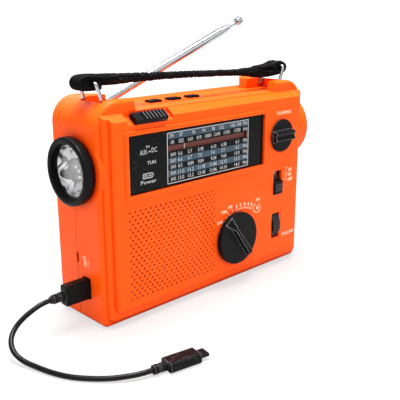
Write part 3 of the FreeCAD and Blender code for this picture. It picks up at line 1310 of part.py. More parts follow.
def make_bail(side):
    """Wire bail: two pins, two legs and a bar."""
    hinge = V(left_hinge_x if side < 0 else right_hinge_x, 0, hinge_z)
    bar = bail_bar(side)
    up = (bar - hinge)
    corners = [(pocket_front_y - pocket_wall - 1.0, 0.0), (bail_front_y, 0.0), (bail_front_y, 1.0),
               (bail_rear_y, 1.0), (bail_rear_y, 0.0), (pocket_back_y + pocket_wall + 1.0, 0.0)]
    points = [V(hinge.x + up.x * share, y, hinge.z + up.z * share) for y, share in corners]
    edges = []
    here = points[0]
    for k in range(1, 5):
        before = (points[k - 1] - points[k]).normalize()
        after = (points[k + 1] - points[k]).normalize()
        bend = bail_bend if k in (2, 3) else 1.4
        start = points[k] + before * bend
        end = points[k] + after * bend
        inward = (before + after).normalize()
        middle = points[k] + inward * (bend * math.sqrt(2) - bend)
        edges.append(Part.LineSegment(here, start).toShape())
        edges.append(Part.Arc(start, middle, end).toShape())
        here = end
    edges.append(Part.LineSegment(here, points[5]).toShape())
    section = Part.Wire(Part.makeCircle(bail_wire, points[0], V(0, 1, 0)))
    return Part.Wire(edges).makePipeShell([section], True, False)


# strap sections: along X and up from the bar of the nearer bail, half width, half thickness
left_loop = [(-9.2, -0.1, 3.4, 2.6), (-6.8, 0.0, 5.6, 4.6), (0.0, 0.0, 6.2, 5.1), (10.0, 0.1, 6.0, 4.9),
             (19.0, 0.3, 4.2, 3.9), (35.0, 0.5, 3.1, 3.0), (72.0, -0.3, 2.9, 2.5)]
right_loop = [(-81.7, -1.2, 2.8, 2.4), (-44.6, -2.8, 2.9, 2.6), (-26.2, -2.9, 4.0, 3.9),
              (-13.2, -2.8, 5.6, 4.6), (-1.2, -1.9, 6.0, 4.8), (6.8, -2.0, 5.6, 4.2), (10.7, -2.3, 3.4, 2.2)]
strap_y = (bail_front_y + bail_rear_y) / 2


def make_strap():
    """Woven strap with a fat loop round the bar of each bail."""
    sections = [(bail_bar(-1), *section) for section in left_loop]
    sections += [(bail_bar(1), *section) for section in right_loop]
    wires = []
    for bar, along, up, half_y, half_z in sections:
        x = bar.x + along
        z = bar.z + up
        if half_y >= half_z:
            curve = Part.Ellipse(V(x, strap_y + half_y, z), V(x, strap_y, z + half_z), V(x, strap_y, z))
        else:
            curve = Part.Ellipse(V(x, strap_y, z + half_z), V(x, strap_y + half_y, z), V(x, strap_y, z))
        wires.append(Part.Wire(curve.toShape()))
    strap = Part.makeLoft(wires, True, False)
    holes = []
    for side in (-1, 1):
        bar = bail_bar(side)
        gap = loop_gap if side < 0 else 2 * loop_gap
        holes.append(rod(bail_wire + gap, V(bar.x, strap_y - 15, bar.z), V(bar.x, strap_y + 15, bar.z)))
    return strap.cut(Part.makeCompound(holes))


def make_handle():
    """The two bails and the strap."""
    return {"bail_left": make_bail(-1), "bail_right": make_bail(1), "carry_strap": make_strap()}


# ---------------------------------------------------------------- antenna
def antenna_point(distance):
    """Point on the antenna's line, a distance from the pivot."""
    return antenna_pivot + antenna_direction * distance


def make_antenna():
    """Pivot stud, fork, four telescoping sections and the tip ball."""
    stud_end = antenna_y + antenna_tube_radius + 0.4
    x = antenna_pivot.x
    z = antenna_pivot.z
    stud = joined(rod(antenna_stud_radius, V(x, inner_back_y - 2, z), V(x, stud_end + 1.0, z)),
                  rod(3.6, V(x, stud_end, z), V(x, stud_end + 1.4, z)),
                  rod(3.4, V(x, inner_back_y - 2.4, z), V(x, inner_back_y, z)))
    fork_back = back_y + 0.6
    hub = rod(5.6, V(x, fork_back, z), V(x, stud_end - 0.1, z))
    cheeks = []
    for side in (-1, 1):
        inner = 1.6
        outer = 3.4
        low = inner if side > 0 else -outer
        corners = [(0, low), (antenna_fork_reach + 3.0, low), (antenna_fork_reach + 3.0, low + outer - inner),
                   (0, low + outer - inner)]
        points = [antenna_pivot + antenna_direction * u + antenna_normal * v for u, v in corners]
        points = [V(p.x, fork_back, p.z) for p in points]
        cheek = Part.Face(Part.makePolygon(points + [points[0]])).extrude(V(0, stud_end - 0.3 - fork_back, 0))
        cheeks.append(cheek)
    pin_centre = antenna_point(antenna_fork_reach)
    tilt_pin = rod(1.1, pin_centre - antenna_normal * 3.4, pin_centre + antenna_normal * 3.4)
    gap = rod(4.0, pin_centre - antenna_normal * 1.6, pin_centre + antenna_normal * 1.6)
    fork = joined(hub, *cheeks).cut(gap)
    stud_hole = rod(antenna_stud_radius + running, V(x, back_y - 5, z), V(x, back_y + 15, z))
    fork = joined(fork, tilt_pin).cut(stud_hole)
    tongue = rod(3.0, pin_centre - antenna_normal * 1.45, pin_centre + antenna_normal * 1.45)
    neck = antenna_plank(antenna_fork_reach, antenna_fork_reach + antenna_neck + 1.0, 1.45, 2.4)
    tube_start = antenna_fork_reach + antenna_neck
    plug = rod(antenna_tube_radius, antenna_point(tube_start), antenna_point(tube_start + 4.0))
    tube_end = antenna_reach - 22.0
    tube = ring(antenna_tube_radius, antenna_tube_radius - antenna_wall, antenna_point(tube_start + 3.5),
                antenna_point(tube_end))
    outer = joined(tongue, neck, plug, tube)
    outer = outer.cut(rod(1.1 + running, pin_centre - antenna_normal * 5, pin_centre + antenna_normal * 5))
    pieces = {"antenna_stud": stud, "antenna_fork": fork, "antenna_tube_1": outer}
    radius = antenna_tube_radius - antenna_wall - running
    start = tube_start + 8.0
    end = tube_end + 5.0
    pieces["antenna_tube_2"] = ring(radius, radius - antenna_wall, antenna_point(start), antenna_point(end))
    radius = radius - antenna_wall - running
    tip_rod = rod(radius, antenna_point(start + 2.0), antenna_point(end + 4.0))
    thin = rod(1.3, antenna_point(end + 4.0), antenna_point(antenna_reach - 2.0))
    ball = rod(antenna_ball_radius, antenna_point(antenna_reach - 2.6), antenna_point(antenna_reach + 2.6))
    ball = rounded_edges(ball, 1.4, lambda edge: len(edge.Vertexes) == 1 and edge.Length > 15)
    pieces["antenna_tip"] = joined(tip_rod, thin, ball)
    return pieces


def antenna_plank(start, end, half_normal, half_y):
    """Bar along the antenna's line with a rectangular section."""
    corners = [(start, -half_normal), (end, -half_normal), (end, half_normal), (start, half_normal)]
    points = [antenna_pivot + antenna_direction * u + antenna_normal * v for u, v in corners]
    points = [V(p.x, antenna_y - half_y, p.z) for p in points]
    return Part.Face(Part.makePolygon(points + [points[0]])).extrude(V(0, 2 * half_y, 0))


# ---------------------------------------------------------------- write the pieces
def main():
    os.makedirs("parts", exist_ok=True)
    pieces = {}
    front, back = make_case()
    pieces["front_shell"] = front
    pieces["back_shell"] = back
    for maker in (make_battery, make_display, make_tuning, make_band, make_mode_switch, make_volume,
                  make_speaker, make_lamp, make_gear_train, make_crank, make_lamp_switch, make_buttons,
                  make_board, make_screws, make_sockets, make_lead, make_handle, make_antenna):
        pieces.update(maker())
    for name, shape in pieces.items():
        solids = shape.Solids
        volume = sum(solid.Volume for solid in solids)
        print("%-22s solids %d  volume %.1f  valid %s" % (name, len(solids), volume, shape.isValid()))
        body = solids[0] if len(solids) == 1 else Part.makeCompound(solids)
        body.exportStep("parts/%s.step" % name)
    print(len(pieces), "pieces")


main()
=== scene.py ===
"""Hand crank radio with a torch, a carry strap, a telescopic antenna and a charging lead.

The tables are in millimetres of the row frame and the rest is in metres, unless a comment says otherwise.
"""
import json
import math

import bmesh
import bpy
from mathutils import Matrix, Vector


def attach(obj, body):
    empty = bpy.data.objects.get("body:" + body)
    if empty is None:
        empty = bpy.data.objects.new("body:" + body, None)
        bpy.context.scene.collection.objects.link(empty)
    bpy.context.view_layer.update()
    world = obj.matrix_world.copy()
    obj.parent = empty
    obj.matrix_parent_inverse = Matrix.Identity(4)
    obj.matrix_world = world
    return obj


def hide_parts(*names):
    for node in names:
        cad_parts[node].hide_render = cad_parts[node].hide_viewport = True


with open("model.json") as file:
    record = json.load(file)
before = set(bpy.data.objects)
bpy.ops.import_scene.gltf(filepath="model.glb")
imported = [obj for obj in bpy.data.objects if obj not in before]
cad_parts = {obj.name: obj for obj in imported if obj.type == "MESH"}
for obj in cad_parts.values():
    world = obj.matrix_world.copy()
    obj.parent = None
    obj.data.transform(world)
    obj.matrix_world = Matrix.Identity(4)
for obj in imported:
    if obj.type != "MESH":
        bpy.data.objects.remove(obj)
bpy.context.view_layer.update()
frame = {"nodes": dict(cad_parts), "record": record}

MM = 0.001

# camera, in metres
CAMERA_PLACE = Vector((-0.3253, -0.3440, 0.2031))
CAMERA_TARGET = Vector((-0.01295, -0.0234, 0.0709))
CAMERA_LENS = 58.68
SENSOR_WIDTH = 36.0

# lamps: name, place, side and power, in metres and watts
LAMP_TARGET = Vector((0, 0, 0.07))
LAMPS = (("key_lamp", (-0.85, -0.65, 0.8), 1.3, 6.0), ("fill_lamp", (0.5, -1.0, 0.55), 0.8, 2.6),
         ("top_lamp", (0.05, 0.02, 1.25), 0.7, 44.0), ("back_lamp", (0.2, 1.2, 0.7), 0.9, 5.0))

# floor: half side in metres, its grey for bounced light and as the camera sees it, its own glow near the
# radio and far from it, the distances between which the glow rises, and the share of it that mirrors see
FLOOR_HALF = 3.0
FLOOR_GREY, FLOOR_SEEN_GREY = (0.45, 0.45, 0.45, 1), (0.13, 0.13, 0.13, 1)
FLOOR_GLOW_NEAR, FLOOR_GLOW_FAR = 0.64, 1.0
FLOOR_NEAR, FLOOR_FAR = 0.25, 0.6
FLOOR_IN_MIRRORS = 0.15

# surroundings: strength as a light and as the camera sees it, and how much dimmer mirrors see them, from
# the horizon's heading up to the sky's
WORLD_LIGHT, WORLD_SEEN = 0.7, 1.0
HORIZON_HEADING, SKY_HEADING = 0.12, 0.45
HORIZON_DIMMING, SKY_DIMMING = 0.68, 0.1

# planes that the printing lies on: along, up and out of the face
FRONT_PLANE = Matrix(((1, 0, 0, 0), (0, 0, -1, -29.4), (0, 1, 0, 0), (0, 0, 0, 1)))
DIAL_PLANE = Matrix(((1, 0, 0, 0), (0, 0, -1, -28.2), (0, 1, 0, 0), (0, 0, 0, 1)))
SIDE_PLANE = Matrix(((0, 0, -1, -100.0), (-1, 0, 0, 0), (0, 1, 0, 0), (0, 0, 0, 1)))
DECK_PLANE = Matrix(((1, 0, 0, 0), (0, 1, 0, 0), (0, 0, 1, 141.0), (0, 0, 0, 1)))
SLOPE = math.radians(35.0)
SLOPE_PLANE = Matrix(((1, 0, 0, 0), (0, math.cos(SLOPE), -math.sin(SLOPE), -29.4),
                      (0, math.sin(SLOPE), math.cos(SLOPE), 136.3), (0, 0, 0, 1)))

# thickness of the printing: plain ink, tints, painted shade of the dimples, the dial's outline and its
# numbers
INK_RISE, TINT_RISE, SHADE_RISE, OUTLINE_RISE, NUMBER_RISE = 0.04, 0.03, 0.02, 0.05, 0.07

# painted highlights on the crests of the torch slider's ribs: first, spacing, height out of the slope, low
# and high end, and section
CREST_FIRST, CREST_PITCH, CREST_COUNT, CREST_RISE = -66.45, 2.857, 7, 1.8
CREST_LOW, CREST_HIGH = -2.0, 4.6
CREST_WIDTH, CREST_THICKNESS = 0.5, 0.04

# the dial's printed table: its edges, row height, and each row's words with their left ends
TABLE_LEFT = -47.0
TABLE_RIGHT = 31.6
TABLE_BOTTOM = 90.6
ROW_HEIGHT = 4.2
ROW_COUNT = 8
OUTLINE_WIDTH = 0.5
OUTLINE_LEFT, OUTLINE_BOTTOM = TABLE_LEFT - 0.5, TABLE_BOTTOM - 0.5
OUTLINE_RIGHT, OUTLINE_TOP = TABLE_RIGHT + 0.4, TABLE_BOTTOM + ROW_COUNT * ROW_HEIGHT + 0.1
NUMBER_LOW, NUMBER_HEIGHT = 0.85, 2.5
DOT_PITCH, LETTER_PITCH, LETTER_GAP = 0.75, 1.62, 0.3
ROW_WORDS = {
    7: (("FM", -45.1), ("87", -36.6), ("90", -25.0), ("94", -15.4), ("98", -6.1), ("102", 1.6),
        ("106", 13.1), ("108", 19.4), ("MHz", 26.4)),
    6: (("AM", -44.7), ("522", -37.5), ("610", -29.0), ("810", -20.7), ("1000", -12.8), ("1240", -4.0),
        ("1500", 6.0), ("1720", 17.2), ("kHz", 26.6)),
    4: (("SW1", -44.8), ("5.6", -38.0), ("5.7", -29.1), ("5.95", -19.5), ("6.10", -6.9), ("6.20", 3.5),
        ("6.5", 18.5), ("MHz", 26.6)),
    3: (("SW2", -44.8), ("6.6", -38.0), ("6.7", -29.1), ("7.0", -19.5), ("7.4", -6.9), ("7.7", 3.5),
        ("8.2", 18.5), ("MHz", 26.6)),
    2: (("SW3", -44.8), ("8.5", -38.0), ("8.84", -29.1), ("9.04", -19.5), ("9.34", -6.9), ("9.60", 3.5),
        ("10.0", 17.6), ("MHz", 26.6)),
    1: (("SW4", -44.8), ("11.0", -38.0), ("11.2", -29.1), ("11.45", -19.5), ("11.86", -7.9),
        ("12.15", 2.5), ("12.5", 17.6), ("MHz", 26.6)),
    0: (("SW5", -44.8), ("13.0", -38.0), ("13.2", -29.1), ("13.45", -19.5), ("13.86", -7.9),
        ("14.10", 2.5), ("14.5", 17.6), ("MHz", 26.6)),
}
TINTED_ROWS = (7, 3, 1)
RED_LEFT, RED_MIDDLE, RED_HEIGHT = 29.95, 113.7, 4.0

# printed words: text, left, low, height, width and boldness; printed lines: their points and width
DIAL_WORDS = (("AUX", -70.7, 113.0, 3.2, 5.6, 0.0), ("DC", -61.0, 113.6, 3.2, 4.6, 0.0),
              ("IN", -65.6, 117.2, 1.5, 2.9, 0.0), ("TUN", -64.9, 106.1, 2.3, 7.2, 0.0),
              ("Power", -70.5, 93.6, 2.5, 13.0, 0.0))
DIAL_LINES = ((((-64.6, 114.4), (-61.8, 114.4), (-62.8, 115.2)), 0.4),
              (((-68.4, 97.4), (-61.0, 97.4), (-59.8, 98.9), (-61.0, 100.4), (-68.4, 100.4),
                (-68.4, 97.4)), 0.5),
              (((-67.0, 98.1), (-67.0, 99.7)), 0.7), (((-65.4, 98.1), (-65.4, 99.7)), 0.7),
              (((-64.0, 98.5), (-62.6, 99.4), (-62.6, 98.3), (-61.4, 99.2)), 0.4))
FRONT_WORDS = (("TUNING", 62.8, 124.0, 2.6, 17.5, 0.012), ("VOLUME", 74.1, 23.6, 2.7, 15.3, 0.012),
               ("CH", 79.9, 77.0, 2.7, 4.2, 0.03), ("ON", 79.6, 73.1, 2.7, 4.2, 0.03),
               ("OFF", 79.5, 69.0, 2.7, 6.3, 0.03), ("OFF", -1.2, 50.6, 2.2, 6.0, 0.02),
               ("FM", 3.7, 57.8, 2.2, 4.8, 0.02), ("AM", 9.9, 60.5, 2.2, 4.6, 0.02),
               ("SW", 41.3, 59.8, 2.2, 4.8, 0.02), ("1", 18.8, 59.0, 2.7, 1.1, 0.02),
               ("2", 22.6, 59.6, 2.7, 2.1, 0.02), ("3", 27.2, 59.2, 2.7, 2.1, 0.02),
               ("4", 31.3, 58.4, 2.7, 2.1, 0.02), ("5", 35.2, 57.2, 2.7, 2.1, 0.02),
               ("6", 41.9, 53.0, 3.4, 2.4, 0.03), ("H", 44.6, 55.6, 2.0, 1.6, 0.02))
FRONT_LINES = ((((76.3, 70.6), (77.0, 81.0)), 0.35), (((76.4, 70.8), (78.2, 70.8)), 0.5),
               (((76.4, 75.6), (78.2, 75.6)), 0.5), (((76.4, 80.6), (78.2, 80.6)), 0.5),
               (((5.1, 50.8), (8.3, 50.8)), 0.45), (((8.0, 54.3), (10.5, 52.3)), 0.45),
               (((9.4, 57.8), (12.0, 55.1)), 0.45), (((13.8, 59.7), (16.1, 56.9)), 0.45),
               (((19.0, 57.4), (21.6, 57.8), (24.2, 57.9), (27.0, 57.8), (29.5, 57.4), (33.5, 56.3),
                 (36.4, 55.1)), 0.45),
               (((40.9, 58.0), (39.0, 56.9), (38.3, 54.7), (39.6, 52.0), (42.6, 50.6), (45.4, 51.0),
                 (46.6, 52.8), (46.4, 54.9)), 0.5))
# ticks on the band knob's arc, and how each one leans and rises
ARC_TICKS = ((19.0, 57.4), (24.2, 57.9), (29.5, 57.4), (33.5, 56.3), (36.4, 55.1))
TICK_LEAN, TICK_RISE, TICK_WIDTH = 0.2, 1.2, 0.45
SIDE_LINES = ((((2.9, 42.9), (4.5, 42.5), (5.2, 43.9), (4.5, 45.7), (2.9, 45.9), (2.3, 44.5),
                (2.9, 42.9)), 0.6),
              (((3.3, 39.9), (5.1, 39.2), (5.5, 40.5), (5.1, 41.9), (3.5, 42.2), (3.3, 39.9)), 0.55))
# the words beside the left end's mark, which read upwards: text, left, low, height and width
SIDE_WORDS = ("5 V DC", 8.4, 38.8, 1.2, 5.6)
# seam and ticks of the deck: start, end and width
DECK_LINES = (((14.0, 3.2), (57.0, 2.6), 0.5), ((-31.0, -3.2), (-27.9, -3.3), 1.0),
              ((18.5, -1.0), (27.0, -3.0), 0.5))

# sound grille: flat discs of painted shade for the blind dimples outside the speaker's circle, which grow
# smaller away from it
GRILLE_LEFT, GRILLE_BOTTOM, GRILLE_ROWS, GRILLE_COLUMNS = -81.2, 17.4, 23, 18
GRILLE_PITCH_X, GRILLE_PITCH_Z = 4.38, 2.72
SPEAKER_X, SPEAKER_Z, SPEAKER_OPEN = -43.95, 48.6, 27.0
DIMPLE_RADIUS, DIMPLE_SHRINK, DIMPLE_SIDES = 0.92, 0.006, 6

# torch, in metres: height of its axis; the emitter cup's middle, radii and depth; its two steps, each an
# inset and a push inward; the bright chips: across, up, width and height in millimetres
TORCH_Z = 0.1036
CORE_X, CORE_BACK_RADIUS, CORE_FRONT_RADIUS, CORE_DEPTH = -0.0948, 0.0074, 0.0079, 0.0116
CORE_STEPS = ((0.0007, 0.0022), (0.0016, 0.0008))
CHIP_X, CHIP_THICKNESS = -0.0978, 0.0008
CHIPS = ((2.2, 1.6, 1.9, 1.9), (-0.6, -0.6, 1.5, 2.1), (-1.6, -4.6, 2.6, 1.5))

# charging cable: its diameter and the control points of its route
CABLE_DIAMETER = 3.3
CABLE_ROUTE = [(-128.0, -5.1, 24.0), (-133.5, -5.1, 24.0), (-141.0, -5.0, 21.6), (-148.4, -4.7, 18.0),
               (-155.0, -5.9, 13.9), (-160.4, -10.4, 10.0), (-163.0, -17.4, 6.3), (-161.9, -26.0, 3.3),
               (-158.6, -35.2, 2.0), (-155.6, -46.0, 1.7), (-150.9, -57.6, 1.7), (-143.6, -67.4, 1.7),
               (-135.4, -76.0, 2.0), (-127.4, -82.4, 2.9), (-119.8, -86.4, 3.2), (-113.1, -87.6, 3.2)]

# braided strap: x, height, half width and half thickness along its middle line
STRAP_Y = -4.5
STRAP_KEYS = [(-84.8, 155.6, 5.4, 1.6), (-88.5, 155.5, 6.0, 1.8), (-94.0, 155.6, 6.1, 1.9),
              (-98.4, 156.3, 6.1, 2.0), (-99.8, 158.8, 6.1, 2.0), (-98.2, 161.2, 6.1, 2.0),
              (-94.0, 162.0, 6.1, 1.9), (-86.0, 161.4, 6.0, 2.3), (-82.0, 160.0, 5.9, 3.4),
              (-77.0, 159.6, 5.4, 3.7), (-72.0, 159.5, 4.6, 3.6), (-64.0, 159.3, 3.5, 3.3),
              (-50.0, 159.1, 3.1, 3.0), (-20.0, 158.4, 2.9, 2.5), (6.5, 157.5, 2.8, 2.4),
              (43.6, 155.9, 2.9, 2.6), (52.0, 155.7, 3.4, 3.0), (58.0, 155.2, 4.2, 3.6),
              (64.0, 154.7, 4.9, 4.0), (72.0, 153.9, 5.6, 3.6), (80.0, 153.7, 5.9, 3.1),
              (88.0, 153.9, 6.0, 2.6), (93.5, 154.6, 6.0, 2.3), (95.8, 156.5, 5.9, 2.1),
              (95.4, 158.9, 5.8, 1.9), (92.0, 160.8, 5.8, 1.5), (88.0, 161.2, 5.8, 1.2),
              (84.0, 160.2, 5.7, 1.3), (80.0, 159.0, 5.6, 1.4), (72.0, 158.4, 5.4, 1.3),
              (67.0, 158.3, 5.0, 1.2)]
# what fills the folds beside each bar: x from and to, height from and to
STRAP_FILLERS = [(-98.2, -93.6, 157.0, 160.4), (-90.4, -82.6, 156.6, 160.2), (80.6, 86.6, 156.2, 159.8),
                 (89.8, 94.4, 156.4, 160.0)]
FILLER_WIDTH, FILLER_ROUNDING = 11.4, 0.6
STRAP_STEPS = 14
CORE_SIDES, CORE_INSET = 24, 0.7
# strands each way, their radius, their pitch in the rope and in the folds, and how far they rise and dip
STRAND_COUNT = 6
STRAND_RADIUS = 0.95
BRAID_PITCH = 15.6
LOOP_PITCH = 150.0
WEAVE_LIFT = 0.32
FOLD_SWELL = 0.1
# half width at which the round rope starts to flatten, and the further width over which it does
ROPE_HALF_WIDTH, FLATTENING = 3.4, 1.6


# ---------------------------------------------------------------- node groups
def new_group(name, inputs, outputs):
    """Empty shader group with named sockets; returns the tree, its input node and its output node."""
    tree = bpy.data.node_groups.new(name, "ShaderNodeTree")
    for kind, label, value in inputs:
        socket = tree.interface.new_socket(label, in_out="INPUT", socket_type="NodeSocket" + kind)
        socket.default_value = value
    for kind, label in outputs:
        tree.interface.new_socket(label, in_out="OUTPUT", socket_type="NodeSocket" + kind)
    return tree, tree.nodes.new("NodeGroupInput"), tree.nodes.new("NodeGroupOutput")


def add_node(tree, kind, links=(), **settings):
    """Shader node with settings; links is a list of (input name or index, output socket or value)."""
    node = tree.nodes.new("ShaderNode" + kind)
    for label, value in settings.items():
        setattr(node, label, value)
    for label, source in links:
        if isinstance(source, bpy.types.NodeSocket):
            tree.links.new(source, node.inputs[label])
        else:
            node.inputs[label].default_value = source
    return node


def maths(tree, operation, *sources):
    """Result of a Math node on sockets or values."""
    return add_node(tree, "Math", list(enumerate(sources)), operation=operation).outputs[0]


def remap(tree, value, start=(0.0, 1.0), end=(0.0, 1.0)):
    """Value taken from one range to the other, held at its ends."""
    links = list(zip(("Value", "From Min", "From Max", "To Min", "To Max"), (value, *start, *end)))
    return add_node(tree, "MapRange", links).outputs["Result"]


def noise(tree, place, scale, detail, distortion=0.0):
    """Noise between 0 and 1."""
    links = [("Vector", place), ("Scale", scale), ("Detail", detail), ("Distortion", distortion)]
    return add_node(tree, "TexNoise", links).outputs["Fac"]


def blend_colours(tree, factor, first, second):
    """Colour mix of two sockets or values."""
    node = tree.nodes.new("ShaderNodeMix")
    node.data_type = "RGBA"
    for index, source in ((0, factor), (6, first), (7, second)):
        if isinstance(source, bpy.types.NodeSocket):
            tree.links.new(source, node.inputs[index])
        else:
            node.inputs[index].default_value = source
    return node.outputs[2]


def moulded_skin_group():
    """Moulded plastic: faint mottling, fine scuffs, uneven gloss, a spark grain, a painted highlight on
    edges and painted shade in creases.
    """
    tree, entry, leave = new_group("moulded_skin", [
        ("Color", "Colour", (1, 1, 1, 1)), ("Color", "Shade", (0.8, 0.8, 0.8, 1)),
        ("Float", "Mottle size", 40.0), ("Float", "Grain size", 2200.0), ("Float", "Grain depth", 0.1),
        ("Float", "Gloss low", 0.35), ("Float", "Gloss high", 0.45), ("Float", "Scuff", 0.08),
        ("Color", "Edge", (0.1, 0.1, 0.1, 1)), ("Float", "Edge highlight", 0.0), ("Float", "Edge radius", 0.0007),
        ("Color", "Painted shade colour", (0.0, 0.0, 0.0, 1)), ("Float", "Painted shade strength", 0.0)],
        [("Color", "Base Color"), ("Float", "Roughness"), ("Vector", "Normal")])
    place = add_node(tree, "TexCoord").outputs["Object"]
    mottle = noise(tree, place, entry.outputs["Mottle size"], 4.0)
    grain = noise(tree, place, entry.outputs["Grain size"], 2.0)
    # scuffs: fine slanting lines, only in some patches
    turned = add_node(tree, "Mapping", [("Vector", place), ("Rotation", (0.5, 0.35, 0.8)),
                                        ("Scale", (0.12, 1.0, 1.0))])
    rubbed = noise(tree, turned.outputs["Vector"], 1500.0, 3.0)
    patches = noise(tree, place, 28.0, 2.0)
    lines = remap(tree, rubbed, (0.62, 0.72))
    where = remap(tree, patches, (0.5, 0.7))
    worn = maths(tree, "MULTIPLY", lines, where)
    scuff = maths(tree, "MULTIPLY", worn, entry.outputs["Scuff"])
    mixed = blend_colours(tree, mottle, entry.outputs["Colour"], entry.outputs["Shade"])
    rubbed_colour = blend_colours(tree, scuff, mixed, (0.85, 0.82, 0.8, 1))
    # painted edge highlight: the edge colour where the rounded normal turns away from the face's own
    rounded = add_node(tree, "Bevel", [("Radius", entry.outputs["Edge radius"])])
    faced = add_node(tree, "NewGeometry")
    agreed = add_node(tree, "VectorMath", [(0, rounded.outputs["Normal"]), (1, faced.outputs["Normal"])],
                      operation="DOT_PRODUCT")
    edge = remap(tree, agreed.outputs["Value"], (0.97, 0.8))
    edged = maths(tree, "MULTIPLY", edge, entry.outputs["Edge highlight"])
    edged_colour = blend_colours(tree, edged, rubbed_colour, entry.outputs["Edge"])
    # painted shade in creases, where little light gets in
    around = add_node(tree, "AmbientOcclusion", [("Distance", 0.006)], samples=6)
    closed = remap(tree, around.outputs["AO"], (0.8, 0.3))
    painted_crease_shade = maths(tree, "MULTIPLY", closed, entry.outputs["Painted shade strength"])
    colour = blend_colours(tree, painted_crease_shade, edged_colour, entry.outputs["Painted shade colour"])
    # gloss and grain
    gloss = remap(tree, mottle, (0.3, 0.7), (entry.outputs["Gloss low"], entry.outputs["Gloss high"]))
    rough = maths(tree, "ADD", gloss, scuff)
    bump = add_node(tree, "Bump", [("Height", grain), ("Strength", entry.outputs["Grain depth"]),
                                   ("Distance", 0.0001)])
    tree.links.new(colour, leave.inputs["Base Color"])
    tree.links.new(rough, leave.inputs["Roughness"])
    tree.links.new(bump.outputs["Normal"], leave.inputs["Normal"])
    return tree


def drawn_metal_group():
    """Plated or drawn metal: hairlines in the gloss and faint stains."""
    tree, entry, leave = new_group("drawn_metal", [
        ("Color", "Colour", (0.8, 0.8, 0.8, 1)), ("Color", "Stain", (0.6, 0.6, 0.6, 1)),
        ("Float", "Line size", 900.0), ("Float", "Gloss low", 0.05), ("Float", "Gloss high", 0.18),
        ("Float", "Line depth", 0.05)],
        [("Color", "Base Color"), ("Float", "Roughness"), ("Vector", "Normal")])
    place = add_node(tree, "TexCoord").outputs["Object"]
    stretch = add_node(tree, "Mapping", [("Vector", place), ("Scale", (0.08, 1.0, 1.0))])
    lines = noise(tree, stretch.outputs["Vector"], entry.outputs["Line size"], 3.0)
    stain = noise(tree, place, 60.0, 3.0)
    colour = blend_colours(tree, stain, entry.outputs["Colour"], entry.outputs["Stain"])
    gloss = remap(tree, lines, (0.3, 0.7), (entry.outputs["Gloss low"], entry.outputs["Gloss high"]))
    bump = add_node(tree, "Bump", [("Height", lines), ("Strength", entry.outputs["Line depth"]),
                                   ("Distance", 0.00005)])
    tree.links.new(colour, leave.inputs["Base Color"])
    tree.links.new(gloss, leave.inputs["Roughness"])
    tree.links.new(bump.outputs["Normal"], leave.inputs["Normal"])
    return tree


def painted_reflection_bowl_group():
    """Torch bowl: painted reflections of its facets as bright and dark streaks round its axis, and a smooth
    grey cup in its middle.
    """
    tree, entry, leave = new_group("painted_reflection_bowl", [
        ("Color", "Bright", (0.88, 0.88, 0.9, 1)), ("Color", "Reflected dark", (0.05, 0.05, 0.055, 1)),
        ("Color", "Cup", (0.2, 0.2, 0.21, 1)), ("Float", "Axis height", 0.1),
        ("Float", "Cup radius", 0.0085)],
        [("Color", "Base Color"), ("Float", "Roughness"), ("Vector", "Normal")])
    place = add_node(tree, "TexCoord").outputs["Object"]
    parts = add_node(tree, "SeparateXYZ", [("Vector", place)])
    rise = maths(tree, "SUBTRACT", parts.outputs["Z"], entry.outputs["Axis height"])
    turn = maths(tree, "ARCTAN2", parts.outputs["Y"], rise)
    flat = add_node(tree, "CombineXYZ", [("X", parts.outputs["Y"]), ("Y", rise)])
    radius = add_node(tree, "VectorMath", [(0, flat.outputs["Vector"])], operation="LENGTH")
    # painted reflections: streaks of noise laid round the axis and pushed in and out in six lobes
    wave = maths(tree, "MULTIPLY", turn, 6.0)
    swirl = maths(tree, "SINE", wave)
    pushed = maths(tree, "MULTIPLY", swirl, 0.55)
    along = maths(tree, "MULTIPLY", turn, 1.6)
    across = maths(tree, "MULTIPLY", radius.outputs["Value"], 520.0)
    shifted = maths(tree, "ADD", across, pushed)
    laid = add_node(tree, "CombineXYZ", [("X", along), ("Y", shifted)])
    streaks = noise(tree, laid.outputs["Vector"], 1.0, 2.0, 0.6)
    mask = remap(tree, streaks, (0.46, 0.56))
    # painted reflections: bright and dark metal colours mixed by the streaks
    painted_reflections = blend_colours(tree, mask, entry.outputs["Bright"], entry.outputs["Reflected dark"])
    inside = maths(tree, "LESS_THAN", radius.outputs["Value"], entry.outputs["Cup radius"])
    colour = blend_colours(tree, inside, painted_reflections, entry.outputs["Cup"])
    gloss = remap(tree, streaks, (0.3, 0.7), (0.36, 0.52))
    bump = add_node(tree, "Bump", [("Height", streaks), ("Strength", 0.5), ("Distance", 0.0006)])
    tree.links.new(colour, leave.inputs["Base Color"])
    tree.links.new(gloss, leave.inputs["Roughness"])
    tree.links.new(bump.outputs["Normal"], leave.inputs["Normal"])
    return tree


MOULDED = moulded_skin_group()
DRAWN = drawn_metal_group()
BOWL = painted_reflection_bowl_group()


def make_material(name, tree, values, sockets):
    """Material whose shader takes the group's outputs, with plain values on its other sockets."""
    material = bpy.data.materials.new(name)
    material.use_nodes = True
    nodes = material.node_tree.nodes
    shader = nodes["Principled BSDF"]
    for label, value in sockets.items():
        shader.inputs[label].default_value = value
    if tree is not None:
        skin = nodes.new("ShaderNodeGroup")
        skin.node_tree = tree
        for label, value in values.items():
            skin.inputs[label].default_value = value
        for output in skin.outputs:
            if output.name in shader.inputs:
                material.node_tree.links.new(output, shader.inputs[output.name])
    return material


